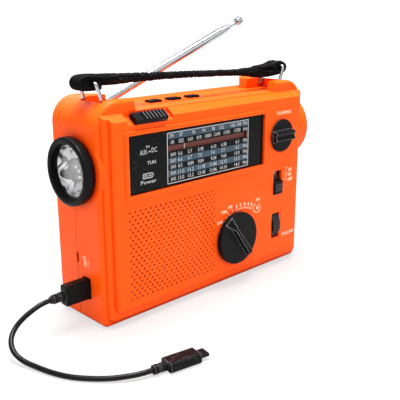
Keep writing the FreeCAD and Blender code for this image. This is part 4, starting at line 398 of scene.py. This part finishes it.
def plastic(name, colour, shade, gloss, grain=0.1, edge=(0.1, 0.1, 0.1), edge_highlight=0.0, more=None, **sockets):
    """Moulded plastic of one colour, with a painted highlight of another colour on its edges."""
    values = {"Colour": (*colour, 1), "Shade": (*shade, 1), "Gloss low": gloss[0], "Gloss high": gloss[1],
              "Grain depth": grain, "Edge": (*edge, 1), "Edge highlight": edge_highlight, **(more or {})}
    return make_material(name, MOULDED, values, sockets)


def metal(name, colour, stain, gloss, **sockets):
    """Bare or plated metal."""
    values = {"Colour": (*colour, 1), "Stain": (*stain, 1), "Gloss low": gloss[0], "Gloss high": gloss[1]}
    return make_material(name, DRAWN, values, {"Metallic": 1.0, **sockets})


# ---------------------------------------------------------------- materials
MATT = {"Specular IOR Level": 0.06}
# each plastic's edge colour and its share give a painted highlight on its edges
FINISHES = {
    # case_orange also darkens its creases to deep red as painted shade
    "case_orange": plastic("case_orange", (0.96, 0.090, 0.0022), (0.93, 0.079, 0.0018), (0.34, 0.44), 0.06,
                           (1.0, 0.26, 0.06), 0.4, {"Painted shade colour": (0.6, 0.012, 0.0, 1), "Painted shade strength": 0.9},
                           **{"Specular IOR Level": 0.09}),
    "dial_black": plastic("dial_black", (0.0035, 0.0037, 0.004), (0.005, 0.0053, 0.0056), (0.22, 0.3), 0.0,
                          **MATT),
    "dial_brown": plastic("dial_brown", (0.185, 0.062, 0.056), (0.15, 0.052, 0.045), (0.4, 0.5), 0.1,
                          **MATT),
    "pointer_white": plastic("pointer_white", (0.42, 0.38, 0.36), (0.36, 0.33, 0.31), (0.4, 0.5)),
    "black_plastic": plastic("black_plastic", (0.0035, 0.0035, 0.0038), (0.006, 0.006, 0.0063),
                             (0.3, 0.44), 0.35, (0.15, 0.15, 0.155), 0.9, **MATT),
    "clear_lens": make_material("clear_lens", None, {}, {"Base Color": (1, 1, 1, 1), "Roughness": 0.02,
                                                         "Transmission Weight": 1.0, "IOR": 1.46}),
    # reflector: painted reflections of the bowl's facets
    "reflector": make_material("reflector", BOWL, {"Axis height": TORCH_Z}, {"Metallic": 1.0}),
    "led": plastic("led", (0.8, 0.79, 0.7), (0.74, 0.72, 0.6), (0.2, 0.3)),
    "steel": metal("steel", (0.42, 0.42, 0.43), (0.34, 0.34, 0.35), (0.22, 0.36)),
    "chrome": metal("chrome", (0.46, 0.47, 0.49), (0.36, 0.37, 0.39), (0.13, 0.22)),
    "white_gear": plastic("white_gear", (0.74, 0.72, 0.66), (0.7, 0.67, 0.6), (0.4, 0.5)),
    "brass_contact": metal("brass_contact", (0.6, 0.42, 0.16), (0.5, 0.35, 0.14), (0.2, 0.3)),
    "circuit_board": plastic("circuit_board", (0.01, 0.07, 0.02), (0.008, 0.05, 0.015), (0.25, 0.35)),
    "ferrite": plastic("ferrite", (0.02, 0.018, 0.018), (0.03, 0.028, 0.028), (0.5, 0.6), 0.4),
    "speaker_steel": metal("speaker_steel", (0.08, 0.08, 0.085), (0.05, 0.05, 0.055), (0.3, 0.45)),
    "speaker_paper": plastic("speaker_paper", (0.01, 0.01, 0.01), (0.016, 0.016, 0.016), (0.7, 0.85), 0.6,
                             **MATT),
    "cell_wrap": plastic("cell_wrap", (0.02, 0.08, 0.3), (0.015, 0.06, 0.25), (0.2, 0.3)),
    "strap_weave": plastic("strap_weave", (0.001, 0.001, 0.0012), (0.0026, 0.0026, 0.003), (0.6, 0.8), 0.8,
                           **{"Specular IOR Level": 0.07}),
    "cable_rubber": plastic("cable_rubber", (0.0018, 0.0018, 0.002), (0.003, 0.003, 0.0033), (0.24, 0.34),
                            0.2, **{"Specular IOR Level": 0.14}),
}
RIBBED_BLACK = plastic("ribbed_black", (0.0025, 0.0025, 0.0027), (0.004, 0.004, 0.0042), (0.3, 0.44), 0.3,
                       **MATT)
# painted highlight on the crests of the torch slider's ribs, light grey over the black
CREST_HIGHLIGHT = plastic("crest_highlight", (0.12, 0.12, 0.122), (0.07, 0.07, 0.072), (0.4, 0.5), 0.3, **MATT)
# bezel_black: a faint painted highlight on the bezel's edges
BEZEL_BLACK = plastic("bezel_black", (0.0025, 0.0025, 0.0027), (0.004, 0.004, 0.0042), (0.26, 0.4), 0.3,
                      (0.05, 0.05, 0.052), 0.4, **MATT)
CORE_GREY = plastic("core_grey", (0.17, 0.17, 0.175), (0.1, 0.1, 0.105), (0.25, 0.4), 0.1)
CHIP_WHITE = plastic("chip_white", (0.9, 0.9, 0.88), (0.85, 0.85, 0.83), (0.3, 0.4), 0.1)
# knob_black: a light grey painted highlight on the knobs' edges and ridges
KNOB_BLACK = plastic("knob_black", (0.003, 0.003, 0.0033), (0.005, 0.005, 0.0053), (0.3, 0.44), 0.3,
                     (0.34, 0.34, 0.345), 1.0, **MATT)
OWN_FINISHES = {"lamp_slider": RIBBED_BLACK, "lamp_bezel": BEZEL_BLACK, "tuning_knob": KNOB_BLACK,
                "band_knob": KNOB_BLACK}
SLATE_INK = plastic("slate_ink", (0.052, 0.085, 0.112), (0.042, 0.07, 0.096), (0.3, 0.4), 0.1, **MATT)
GREY_INK = plastic("grey_ink", (0.60, 0.61, 0.62), (0.42, 0.43, 0.44), (0.5, 0.6), 0.1, **MATT)
CREAM_INK = plastic("cream_ink", (1.0, 0.70, 0.50), (0.95, 0.6, 0.4), (0.5, 0.6), 0.1, **MATT)
# painted shade inside the grille's blind dimples, deep red
DIMPLE_PAINTED_SHADOW = plastic("painted_dimple_shadow", (0.20, 0.006, 0.0005), (0.28, 0.012, 0.001), (0.5, 0.6), 0.1, **MATT)
SEAM_SHADE = plastic("seam_shade", (0.24, 0.02, 0.002), (0.3, 0.03, 0.002), (0.5, 0.6), 0.1, **MATT)


def dress_cad_nodes():
    """The CAD pieces take the finished materials of their slots."""
    slots = {part["node"]: part["material_slot"] for part in frame["record"]["subparts"]}
    for name, piece in frame["nodes"].items():
        material = OWN_FINISHES.get(name, FINISHES[slots[name]])
        if piece.data.materials:
            for index in range(len(piece.data.materials)):
                piece.material_slots[index].material = material
        else:
            piece.data.materials.append(material)


# ---------------------------------------------------------------- stage
def make_camera():
    """Camera of the main view."""
    camera = bpy.data.objects.new("camera", bpy.data.cameras.new("camera"))
    camera.data.lens = CAMERA_LENS
    camera.data.sensor_width = SENSOR_WIDTH
    camera.data.sensor_fit = "HORIZONTAL"
    camera.data.clip_start = 0.01
    camera.location = CAMERA_PLACE
    camera.rotation_euler = (CAMERA_TARGET - CAMERA_PLACE).to_track_quat("-Z", "Y").to_euler()
    bpy.context.scene.collection.objects.link(camera)
    bpy.context.scene.camera = camera


def make_lamp(name, place, size, power):
    """Soft square lamp that points at the radio."""
    lamp = bpy.data.objects.new(name, bpy.data.lights.new(name, "AREA"))
    lamp.data.size = size
    lamp.data.energy = power
    lamp.location = place
    lamp.rotation_euler = (LAMP_TARGET - Vector(place)).to_track_quat("-Z", "Y").to_euler()
    bpy.context.scene.collection.objects.link(lamp)


def make_floor():
    """Floor that is white to the camera and keeps the radio's soft shadow."""
    mesh = bpy.data.meshes.new("floor")
    bm = bmesh.new()
    bmesh.ops.create_grid(bm, x_segments=1, y_segments=1, size=FLOOR_HALF)
    bm.to_mesh(mesh)
    bm.free()
    floor = bpy.data.objects.new("floor", mesh)
    bpy.context.scene.collection.objects.link(floor)
    material = bpy.data.materials.new("floor_white")
    material.use_nodes = True
    tree = material.node_tree
    shader = tree.nodes["Principled BSDF"]
    shader.inputs["Roughness"].default_value = 0.6
    shader.inputs["Emission Color"].default_value = (1, 1, 1, 1)
    seen = add_node(tree, "LightPath")
    mirrored = maths(tree, "MULTIPLY", seen.outputs["Is Glossy Ray"], FLOOR_IN_MIRRORS)
    direct = maths(tree, "ADD", seen.outputs["Is Camera Ray"], mirrored)
    through = maths(tree, "ADD", direct, seen.outputs["Is Transmission Ray"])
    grey = blend_colours(tree, seen.outputs["Is Camera Ray"], FLOOR_GREY, FLOOR_SEEN_GREY)
    tree.links.new(grey, shader.inputs["Base Color"])
    place = add_node(tree, "TexCoord").outputs["Object"]
    away = add_node(tree, "VectorMath", [(0, place)], operation="LENGTH")
    level = remap(tree, away.outputs["Value"], (FLOOR_NEAR, FLOOR_FAR), (FLOOR_GLOW_NEAR, FLOOR_GLOW_FAR))
    glow = maths(tree, "MULTIPLY", through, level)
    tree.links.new(glow, shader.inputs["Emission Strength"])
    floor.data.materials.append(material)


def make_surroundings():
    """Surroundings that are white to the camera, level as a light and dim in mirrors."""
    world = bpy.data.worlds.new("surroundings")
    bpy.context.scene.world = world
    world.use_nodes = True
    tree = world.node_tree
    background = tree.nodes["Background"]
    background.inputs["Color"].default_value = (1, 1, 1, 1)
    seen = add_node(tree, "LightPath")
    direct = maths(tree, "MAXIMUM", seen.outputs["Is Camera Ray"], seen.outputs["Is Transmission Ray"])
    level = remap(tree, direct, end=(WORLD_LIGHT, WORLD_SEEN))
    heading = add_node(tree, "SeparateXYZ", [("Vector", add_node(tree, "TexCoord").outputs["Generated"])])
    dimming = remap(tree, heading.outputs["Z"], (HORIZON_HEADING, SKY_HEADING),
                    (HORIZON_DIMMING, SKY_DIMMING))
    dimmed = maths(tree, "MULTIPLY", seen.outputs["Is Glossy Ray"], dimming)
    strength = maths(tree, "SUBTRACT", level, dimmed)
    tree.links.new(strength, background.inputs["Strength"])


def make_stage():
    """Floor, surroundings, lamps and view transform."""
    make_floor()
    make_surroundings()
    for name, place, size, power in LAMPS:
        make_lamp(name, place, size, power)
    bpy.context.scene.view_settings.view_transform = "Standard"


# ---------------------------------------------------------------- printing
def place_new(bm, before, matrix):
    """Moves the vertices made since the count by the matrix."""
    bm.verts.ensure_lookup_table()
    bmesh.ops.transform(bm, matrix=matrix, verts=bm.verts[before:])


def add_words(bm, plane, words, left, low, height, width, turn=0.0, heavy=0.0, rise=INK_RISE):
    """Words as thin solids: lower left corner, height and width on the plane, and a turn in degrees."""
    curve = bpy.data.curves.new("words", "FONT")
    curve.body = words
    curve.resolution_u = 2
    curve.extrude = 0.5
    curve.offset = heavy
    holder = bpy.data.objects.new("words", curve)
    bpy.context.scene.collection.objects.link(holder)
    mesh = bpy.data.meshes.new_from_object(holder)
    bpy.data.objects.remove(holder)
    wide = [vertex.co.x for vertex in mesh.vertices]
    tall = [vertex.co.y for vertex in mesh.vertices]
    size = Matrix.Diagonal((width / (max(wide) - min(wide)), height / (max(tall) - min(tall)), rise, 1))
    corner = Matrix.Translation((-min(wide), -min(tall), 0.5))
    place = Matrix.Translation((left, low, 0)) @ Matrix.Rotation(math.radians(turn), 4, "Z")
    before = len(bm.verts)
    bm.from_mesh(mesh)
    place_new(bm, before, Matrix.Scale(MM, 4) @ plane @ place @ size @ corner)


def add_line(bm, plane, start, end, width, rise=INK_RISE):
    """Straight printed line between two points on the plane."""
    along = Vector((end[0] - start[0], end[1] - start[1]))
    middle = Vector((start[0] + end[0], start[1] + end[1])) / 2
    place = Matrix.Translation((middle.x, middle.y, rise / 2))
    turn = Matrix.Rotation(math.atan2(along.y, along.x), 4, "Z")
    size = Matrix.Diagonal((along.length, width, rise, 1))
    bmesh.ops.create_cube(bm, size=1, matrix=Matrix.Scale(MM, 4) @ plane @ place @ turn @ size)


def add_path(bm, plane, points, width, rise=INK_RISE):
    """Printed line through points."""
    for start, end in zip(points, points[1:]):
        add_line(bm, plane, start, end, width, rise)


def add_marks(bm, plane, words, lines):
    """Words and lines from their tables."""
    for label, left, low, height, width, heavy in words:
        add_words(bm, plane, label, left, low, height, width, heavy=heavy)
    for points, width in lines:
        add_path(bm, plane, points, width)


def add_disc(bm, plane, centre, radius, sides, rise=INK_RISE):
    """Thin disc on the plane."""
    matrix = Matrix.Scale(MM, 4) @ plane @ Matrix.Translation((centre[0], centre[1], rise / 2))
    bmesh.ops.create_cone(bm, cap_ends=True, segments=sides, radius1=radius, radius2=radius, depth=rise,
                          matrix=matrix)


def finish_piece(name, bm, material, body="case", smooth=False):
    """Piece from a bmesh: merged, closed, faces outward, riding its body."""
    bmesh.ops.remove_doubles(bm, verts=bm.verts, dist=1e-7)
    bmesh.ops.recalc_face_normals(bm, faces=bm.faces)
    for face in bm.faces:
        face.smooth = smooth
    mesh = bpy.data.meshes.new(name)
    bm.to_mesh(mesh)
    bm.free()
    mesh.materials.append(material)
    piece = bpy.data.objects.new(name, mesh)
    bpy.context.scene.collection.objects.link(piece)
    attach(piece, body)
    return piece


def make_dial_table():
    """Tinted rows, outline, words and numbers of the dial."""
    tint = bmesh.new()
    for row in TINTED_ROWS:
        middle = TABLE_BOTTOM + (row + 0.5) * ROW_HEIGHT
        add_line(tint, DIAL_PLANE, (TABLE_LEFT, middle), (TABLE_RIGHT, middle), ROW_HEIGHT, TINT_RISE)
    finish_piece("dial_tint", tint, SLATE_INK)
    red = bmesh.new()
    add_line(red, DIAL_PLANE, (RED_LEFT, RED_MIDDLE), (TABLE_RIGHT, RED_MIDDLE), RED_HEIGHT, TINT_RISE)
    finish_piece("dial_red_end", red, FINISHES["dial_brown"])

    words = bmesh.new()
    for row, entries in ROW_WORDS.items():
        low = TABLE_BOTTOM + row * ROW_HEIGHT + NUMBER_LOW
        for label, left in entries:
            width = sum(DOT_PITCH if letter == "." else LETTER_PITCH for letter in label) - LETTER_GAP
            add_words(words, DIAL_PLANE, label, left, low, NUMBER_HEIGHT, width, rise=NUMBER_RISE)
    finish_piece("dial_words", words, GREY_INK)

    marks = bmesh.new()
    outline = [(OUTLINE_LEFT, OUTLINE_BOTTOM), (OUTLINE_RIGHT, OUTLINE_BOTTOM), (OUTLINE_RIGHT, OUTLINE_TOP),
               (OUTLINE_LEFT, OUTLINE_TOP), (OUTLINE_LEFT, OUTLINE_BOTTOM)]
    add_path(marks, DIAL_PLANE, outline, OUTLINE_WIDTH, OUTLINE_RISE)
    add_marks(marks, DIAL_PLANE, DIAL_WORDS, DIAL_LINES)
    finish_piece("dial_marks", marks, GREY_INK)


def make_front_marks():
    """Words, numbers and ticks printed on the front and the left end."""
    bm = bmesh.new()
    add_marks(bm, FRONT_PLANE, FRONT_WORDS, FRONT_LINES)
    for x, z in ARC_TICKS:
        add_line(bm, FRONT_PLANE, (x, z), (x + TICK_LEAN, z + TICK_RISE), TICK_WIDTH)
    finish_piece("front_marks", bm, CREAM_INK)

    side = bmesh.new()
    add_marks(side, SIDE_PLANE, (), SIDE_LINES)
    add_words(side, SIDE_PLANE, *SIDE_WORDS, turn=90)
    finish_piece("side_marks", side, CREAM_INK)


def make_slider_crest_highlights():
    """Painted highlights on the crests of the torch slider's ribs."""
    bm = bmesh.new()
    for k in range(CREST_COUNT):
        x = CREST_FIRST + CREST_PITCH * k
        low = SLOPE_PLANE @ Vector((x, CREST_LOW, CREST_RISE))
        high = SLOPE_PLANE @ Vector((x, CREST_HIGH, CREST_RISE))
        size = Matrix.Diagonal((CREST_WIDTH, (high - low).length, CREST_THICKNESS, 1))
        lie = Matrix.Translation((low + high) / 2) @ Matrix.Rotation(SLOPE, 4, "X")
        bmesh.ops.create_cube(bm, size=1, matrix=Matrix.Scale(MM, 4) @ lie @ size)
    finish_piece("slider_crest_highlights", bm, CREST_HIGHLIGHT, "torch_switch")


def make_lamp_core():
    """Grey emitter cup in the middle of the torch's bowl, with its bright chips."""
    bm = bmesh.new()
    turn = Matrix.Translation((CORE_X, 0, TORCH_Z)) @ Matrix.Rotation(math.radians(-90), 4, "Y")
    bmesh.ops.create_cone(bm, cap_ends=True, segments=48, radius1=CORE_BACK_RADIUS,
                          radius2=CORE_FRONT_RADIUS, depth=CORE_DEPTH, matrix=turn)
    front = [face for face in bm.faces if face.normal.x < -0.9]
    for inset, push in CORE_STEPS:
        bmesh.ops.inset_region(bm, faces=front, thickness=inset)
        bmesh.ops.translate(bm, verts=front[0].verts, vec=(push, 0, 0))
    finish_piece("lamp_core", bm, CORE_GREY)
    chips = bmesh.new()
    for across, up, wide, tall in CHIPS:
        place = Matrix.Translation((CHIP_X, across * MM, TORCH_Z + up * MM))
        size = Matrix.Diagonal((CHIP_THICKNESS, wide * MM, tall * MM, 1))
        bmesh.ops.create_cube(chips, size=1, matrix=place @ size)
    finish_piece("lamp_chips", chips, CHIP_WHITE)


def make_grille_painted_shadows():
    """Flat discs of painted shade for the grille's blind dimples outside the speaker's circle."""
    bm = bmesh.new()
    for row in range(GRILLE_ROWS):
        z = GRILLE_BOTTOM + row * GRILLE_PITCH_Z
        for column in range(GRILLE_COLUMNS):
            x = GRILLE_LEFT + GRILLE_PITCH_X * (column + 0.5 * (row % 2))
            distance = math.hypot(x - SPEAKER_X, z - SPEAKER_Z)
            if distance > SPEAKER_OPEN:
                radius = DIMPLE_RADIUS - DIMPLE_SHRINK * (distance - SPEAKER_OPEN)
                add_disc(bm, FRONT_PLANE, (x, z), radius, DIMPLE_SIDES, SHADE_RISE)
    finish_piece("grille_painted_shadows", bm, DIMPLE_PAINTED_SHADOW)


def make_deck_marks():
    """Dark seam and ticks of the deck."""
    bm = bmesh.new()
    for start, end, width in DECK_LINES:
        add_line(bm, DECK_PLANE, start, end, width, TINT_RISE)
    finish_piece("deck_marks", bm, SEAM_SHADE)


# ---------------------------------------------------------------- lead
def make_cable():
    """The charging cable on its route."""
    curve = bpy.data.curves.new("charging_cable", "CURVE")
    curve.dimensions = "3D"
    spline = curve.splines.new("NURBS")
    spline.points.add(len(CABLE_ROUTE) - 1)
    for point, place in zip(spline.points, CABLE_ROUTE):
        point.co = (place[0] * MM, place[1] * MM, place[2] * MM, 1)
    spline.order_u = 3
    spline.use_endpoint_u = True
    curve.bevel_depth = CABLE_DIAMETER / 2 * MM
    curve.bevel_resolution = 5
    curve.resolution_u = 10
    curve.use_fill_caps = True
    cable = bpy.data.objects.new("charging_cable", curve)
    bpy.context.scene.collection.objects.link(cable)
    curve.materials.append(FINISHES["cable_rubber"])
    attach(cable, "lead")
    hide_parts("lead_cable")


# ---------------------------------------------------------------- strap
def smooth_between(keys, count):
    """Points of a Catmull-Rom curve through the keys, count to each stretch."""
    points = []
    padded = [keys[0]] + list(keys) + [keys[-1]]
    for k in range(len(keys) - 1):
        before, start, end, after = padded[k:k + 4]
        for step in range(count):
            t = step / count
            point = []
            for a, b, c, d in zip(before, start, end, after):
                point.append(0.5 * (2 * b + (c - a) * t + (2 * a - 5 * b + 4 * c - d) * t ** 2
                                    + (3 * b - a - 3 * c + d) * t ** 3))
            points.append(point)
    points.append(list(keys[-1]))
    return points


def strap_stations():
    """Centre, upward normal, half width and half thickness along the strap, in millimetres."""
    stations = smooth_between(STRAP_KEYS, STRAP_STEPS)
    frames = []
    for k, (x, z, half_y, half_t) in enumerate(stations):
        ahead = stations[min(k + 1, len(stations) - 1)]
        behind = stations[max(k - 1, 0)]
        along = Vector((ahead[0] - behind[0], 0, ahead[1] - behind[1])).normalized()
        normal = Vector((-along.z, 0, along.x))
        frames.append((Vector((x, STRAP_Y, z)), normal, half_y, half_t))
    return frames


def flatness(half_y):
    """0 in the round rope, 1 in the flat folds."""
    return max(0.0, min(1.0, (half_y - ROPE_HALF_WIDTH) / FLATTENING))


def rim_offset(normal, half_y, half_t, angle):
    """Offset from the middle line to the strap's rim: round in the rope, flatter in the folds."""
    power = 2 / (2 + 1.6 * flatness(half_y))
    side, up = math.sin(angle), math.cos(angle)
    side = math.copysign(abs(side) ** power, side)
    up = math.copysign(abs(up) ** power, up)
    return Vector((0, 1, 0)) * half_y * side + normal * half_t * up


def strap_core(bm, frames):
    """Smooth inside of the braid: one ring drawn along the strap."""
    made = bmesh.ops.create_circle(bm, cap_ends=True, segments=CORE_SIDES, radius=1)
    ring = made["verts"]
    angles = [math.atan2(vertex.co.x, vertex.co.y) for vertex in ring]
    edges = [edge for edge in bm.edges if edge.is_boundary]
    for k, (centre, normal, half_y, half_t) in enumerate(frames):
        if k:
            grown = bmesh.ops.extrude_edge_only(bm, edges=edges)
            fresh = {vertex for vertex in grown["geom"] if isinstance(vertex, bmesh.types.BMVert)}
            follow = {}
            for vertex in ring:
                for edge in vertex.link_edges:
                    other = edge.other_vert(vertex)
                    if other in fresh:
                        follow[vertex] = other
            ring = [follow[vertex] for vertex in ring]
            edges = [edge for edge in grown["geom"]
                     if isinstance(edge, bmesh.types.BMEdge) and edge.is_boundary]
        for vertex, angle in zip(ring, angles):
            vertex.co = (centre + rim_offset(normal, half_y - CORE_INSET, half_t - CORE_INSET, angle)) * MM
    bmesh.ops.holes_fill(bm, edges=edges)


def strap_strands(frames):
    """Braid of strands over and under one another, laid round the core."""
    curve = bpy.data.curves.new("strap_strands", "CURVE")
    curve.dimensions = "3D"
    curve.bevel_depth = STRAND_RADIUS * MM
    curve.bevel_resolution = 1
    curve.use_fill_caps = True
    for hand in (-1, 1):
        for number in range(STRAND_COUNT):
            spline = curve.splines.new("POLY")
            spline.points.add(len(frames) - 1)
            turn = 0.0
            here = frames[0][0]
            for point, (centre, normal, half_y, half_t) in zip(spline.points, frames):
                flat = flatness(half_y)
                pitch = BRAID_PITCH * (1 - flat) + LOOP_PITCH * flat
                turn += (centre - here).length * 2 * math.pi / pitch
                here = centre
                angle = hand * turn + 2 * math.pi * (number + 0.25 * hand) / STRAND_COUNT
                lift = WEAVE_LIFT * (1 - flat) * hand * math.cos(STRAND_COUNT * turn) - STRAND_RADIUS
                place = centre + rim_offset(normal, half_y + lift, half_t + lift, angle)
                point.co = (*(place * MM), 1)
                point.radius = 1.0 + FOLD_SWELL * flat
    strands = bpy.data.objects.new("strap_strands", curve)
    bpy.context.scene.collection.objects.link(strands)
    mesh = bpy.data.meshes.new_from_object(strands)
    bpy.data.objects.remove(strands)
    return mesh


def make_strap():
    """Braided strap, folded flat round the bar of each bail."""
    frames = strap_stations()
    bm = bmesh.new()
    strap_core(bm, frames)
    bm.from_mesh(strap_strands(frames))
    for left, right, low, high in STRAP_FILLERS:
        place = Matrix.Translation(((left + right) / 2 * MM, STRAP_Y * MM, (low + high) / 2 * MM))
        size = Matrix.Diagonal(((right - left) * MM, FILLER_WIDTH * MM, (high - low) * MM, 1))
        block = bmesh.ops.create_cube(bm, size=1, matrix=place @ size)
        rim = {edge for vertex in block["verts"] for edge in vertex.link_edges}
        bmesh.ops.bevel(bm, geom=list(rim), offset=FILLER_ROUNDING * MM, segments=2, affect="EDGES",
                        profile=0.5, material=-1)
    strap = finish_piece("braided_strap", bm, FINISHES["strap_weave"], "strap", True)
    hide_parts("carry_strap")


make_camera()
make_stage()
dress_cad_nodes()
make_dial_table()
make_front_marks()
make_lamp_core()
make_slider_crest_highlights()
make_grille_painted_shadows()
make_deck_marks()
make_cable()
make_strap()
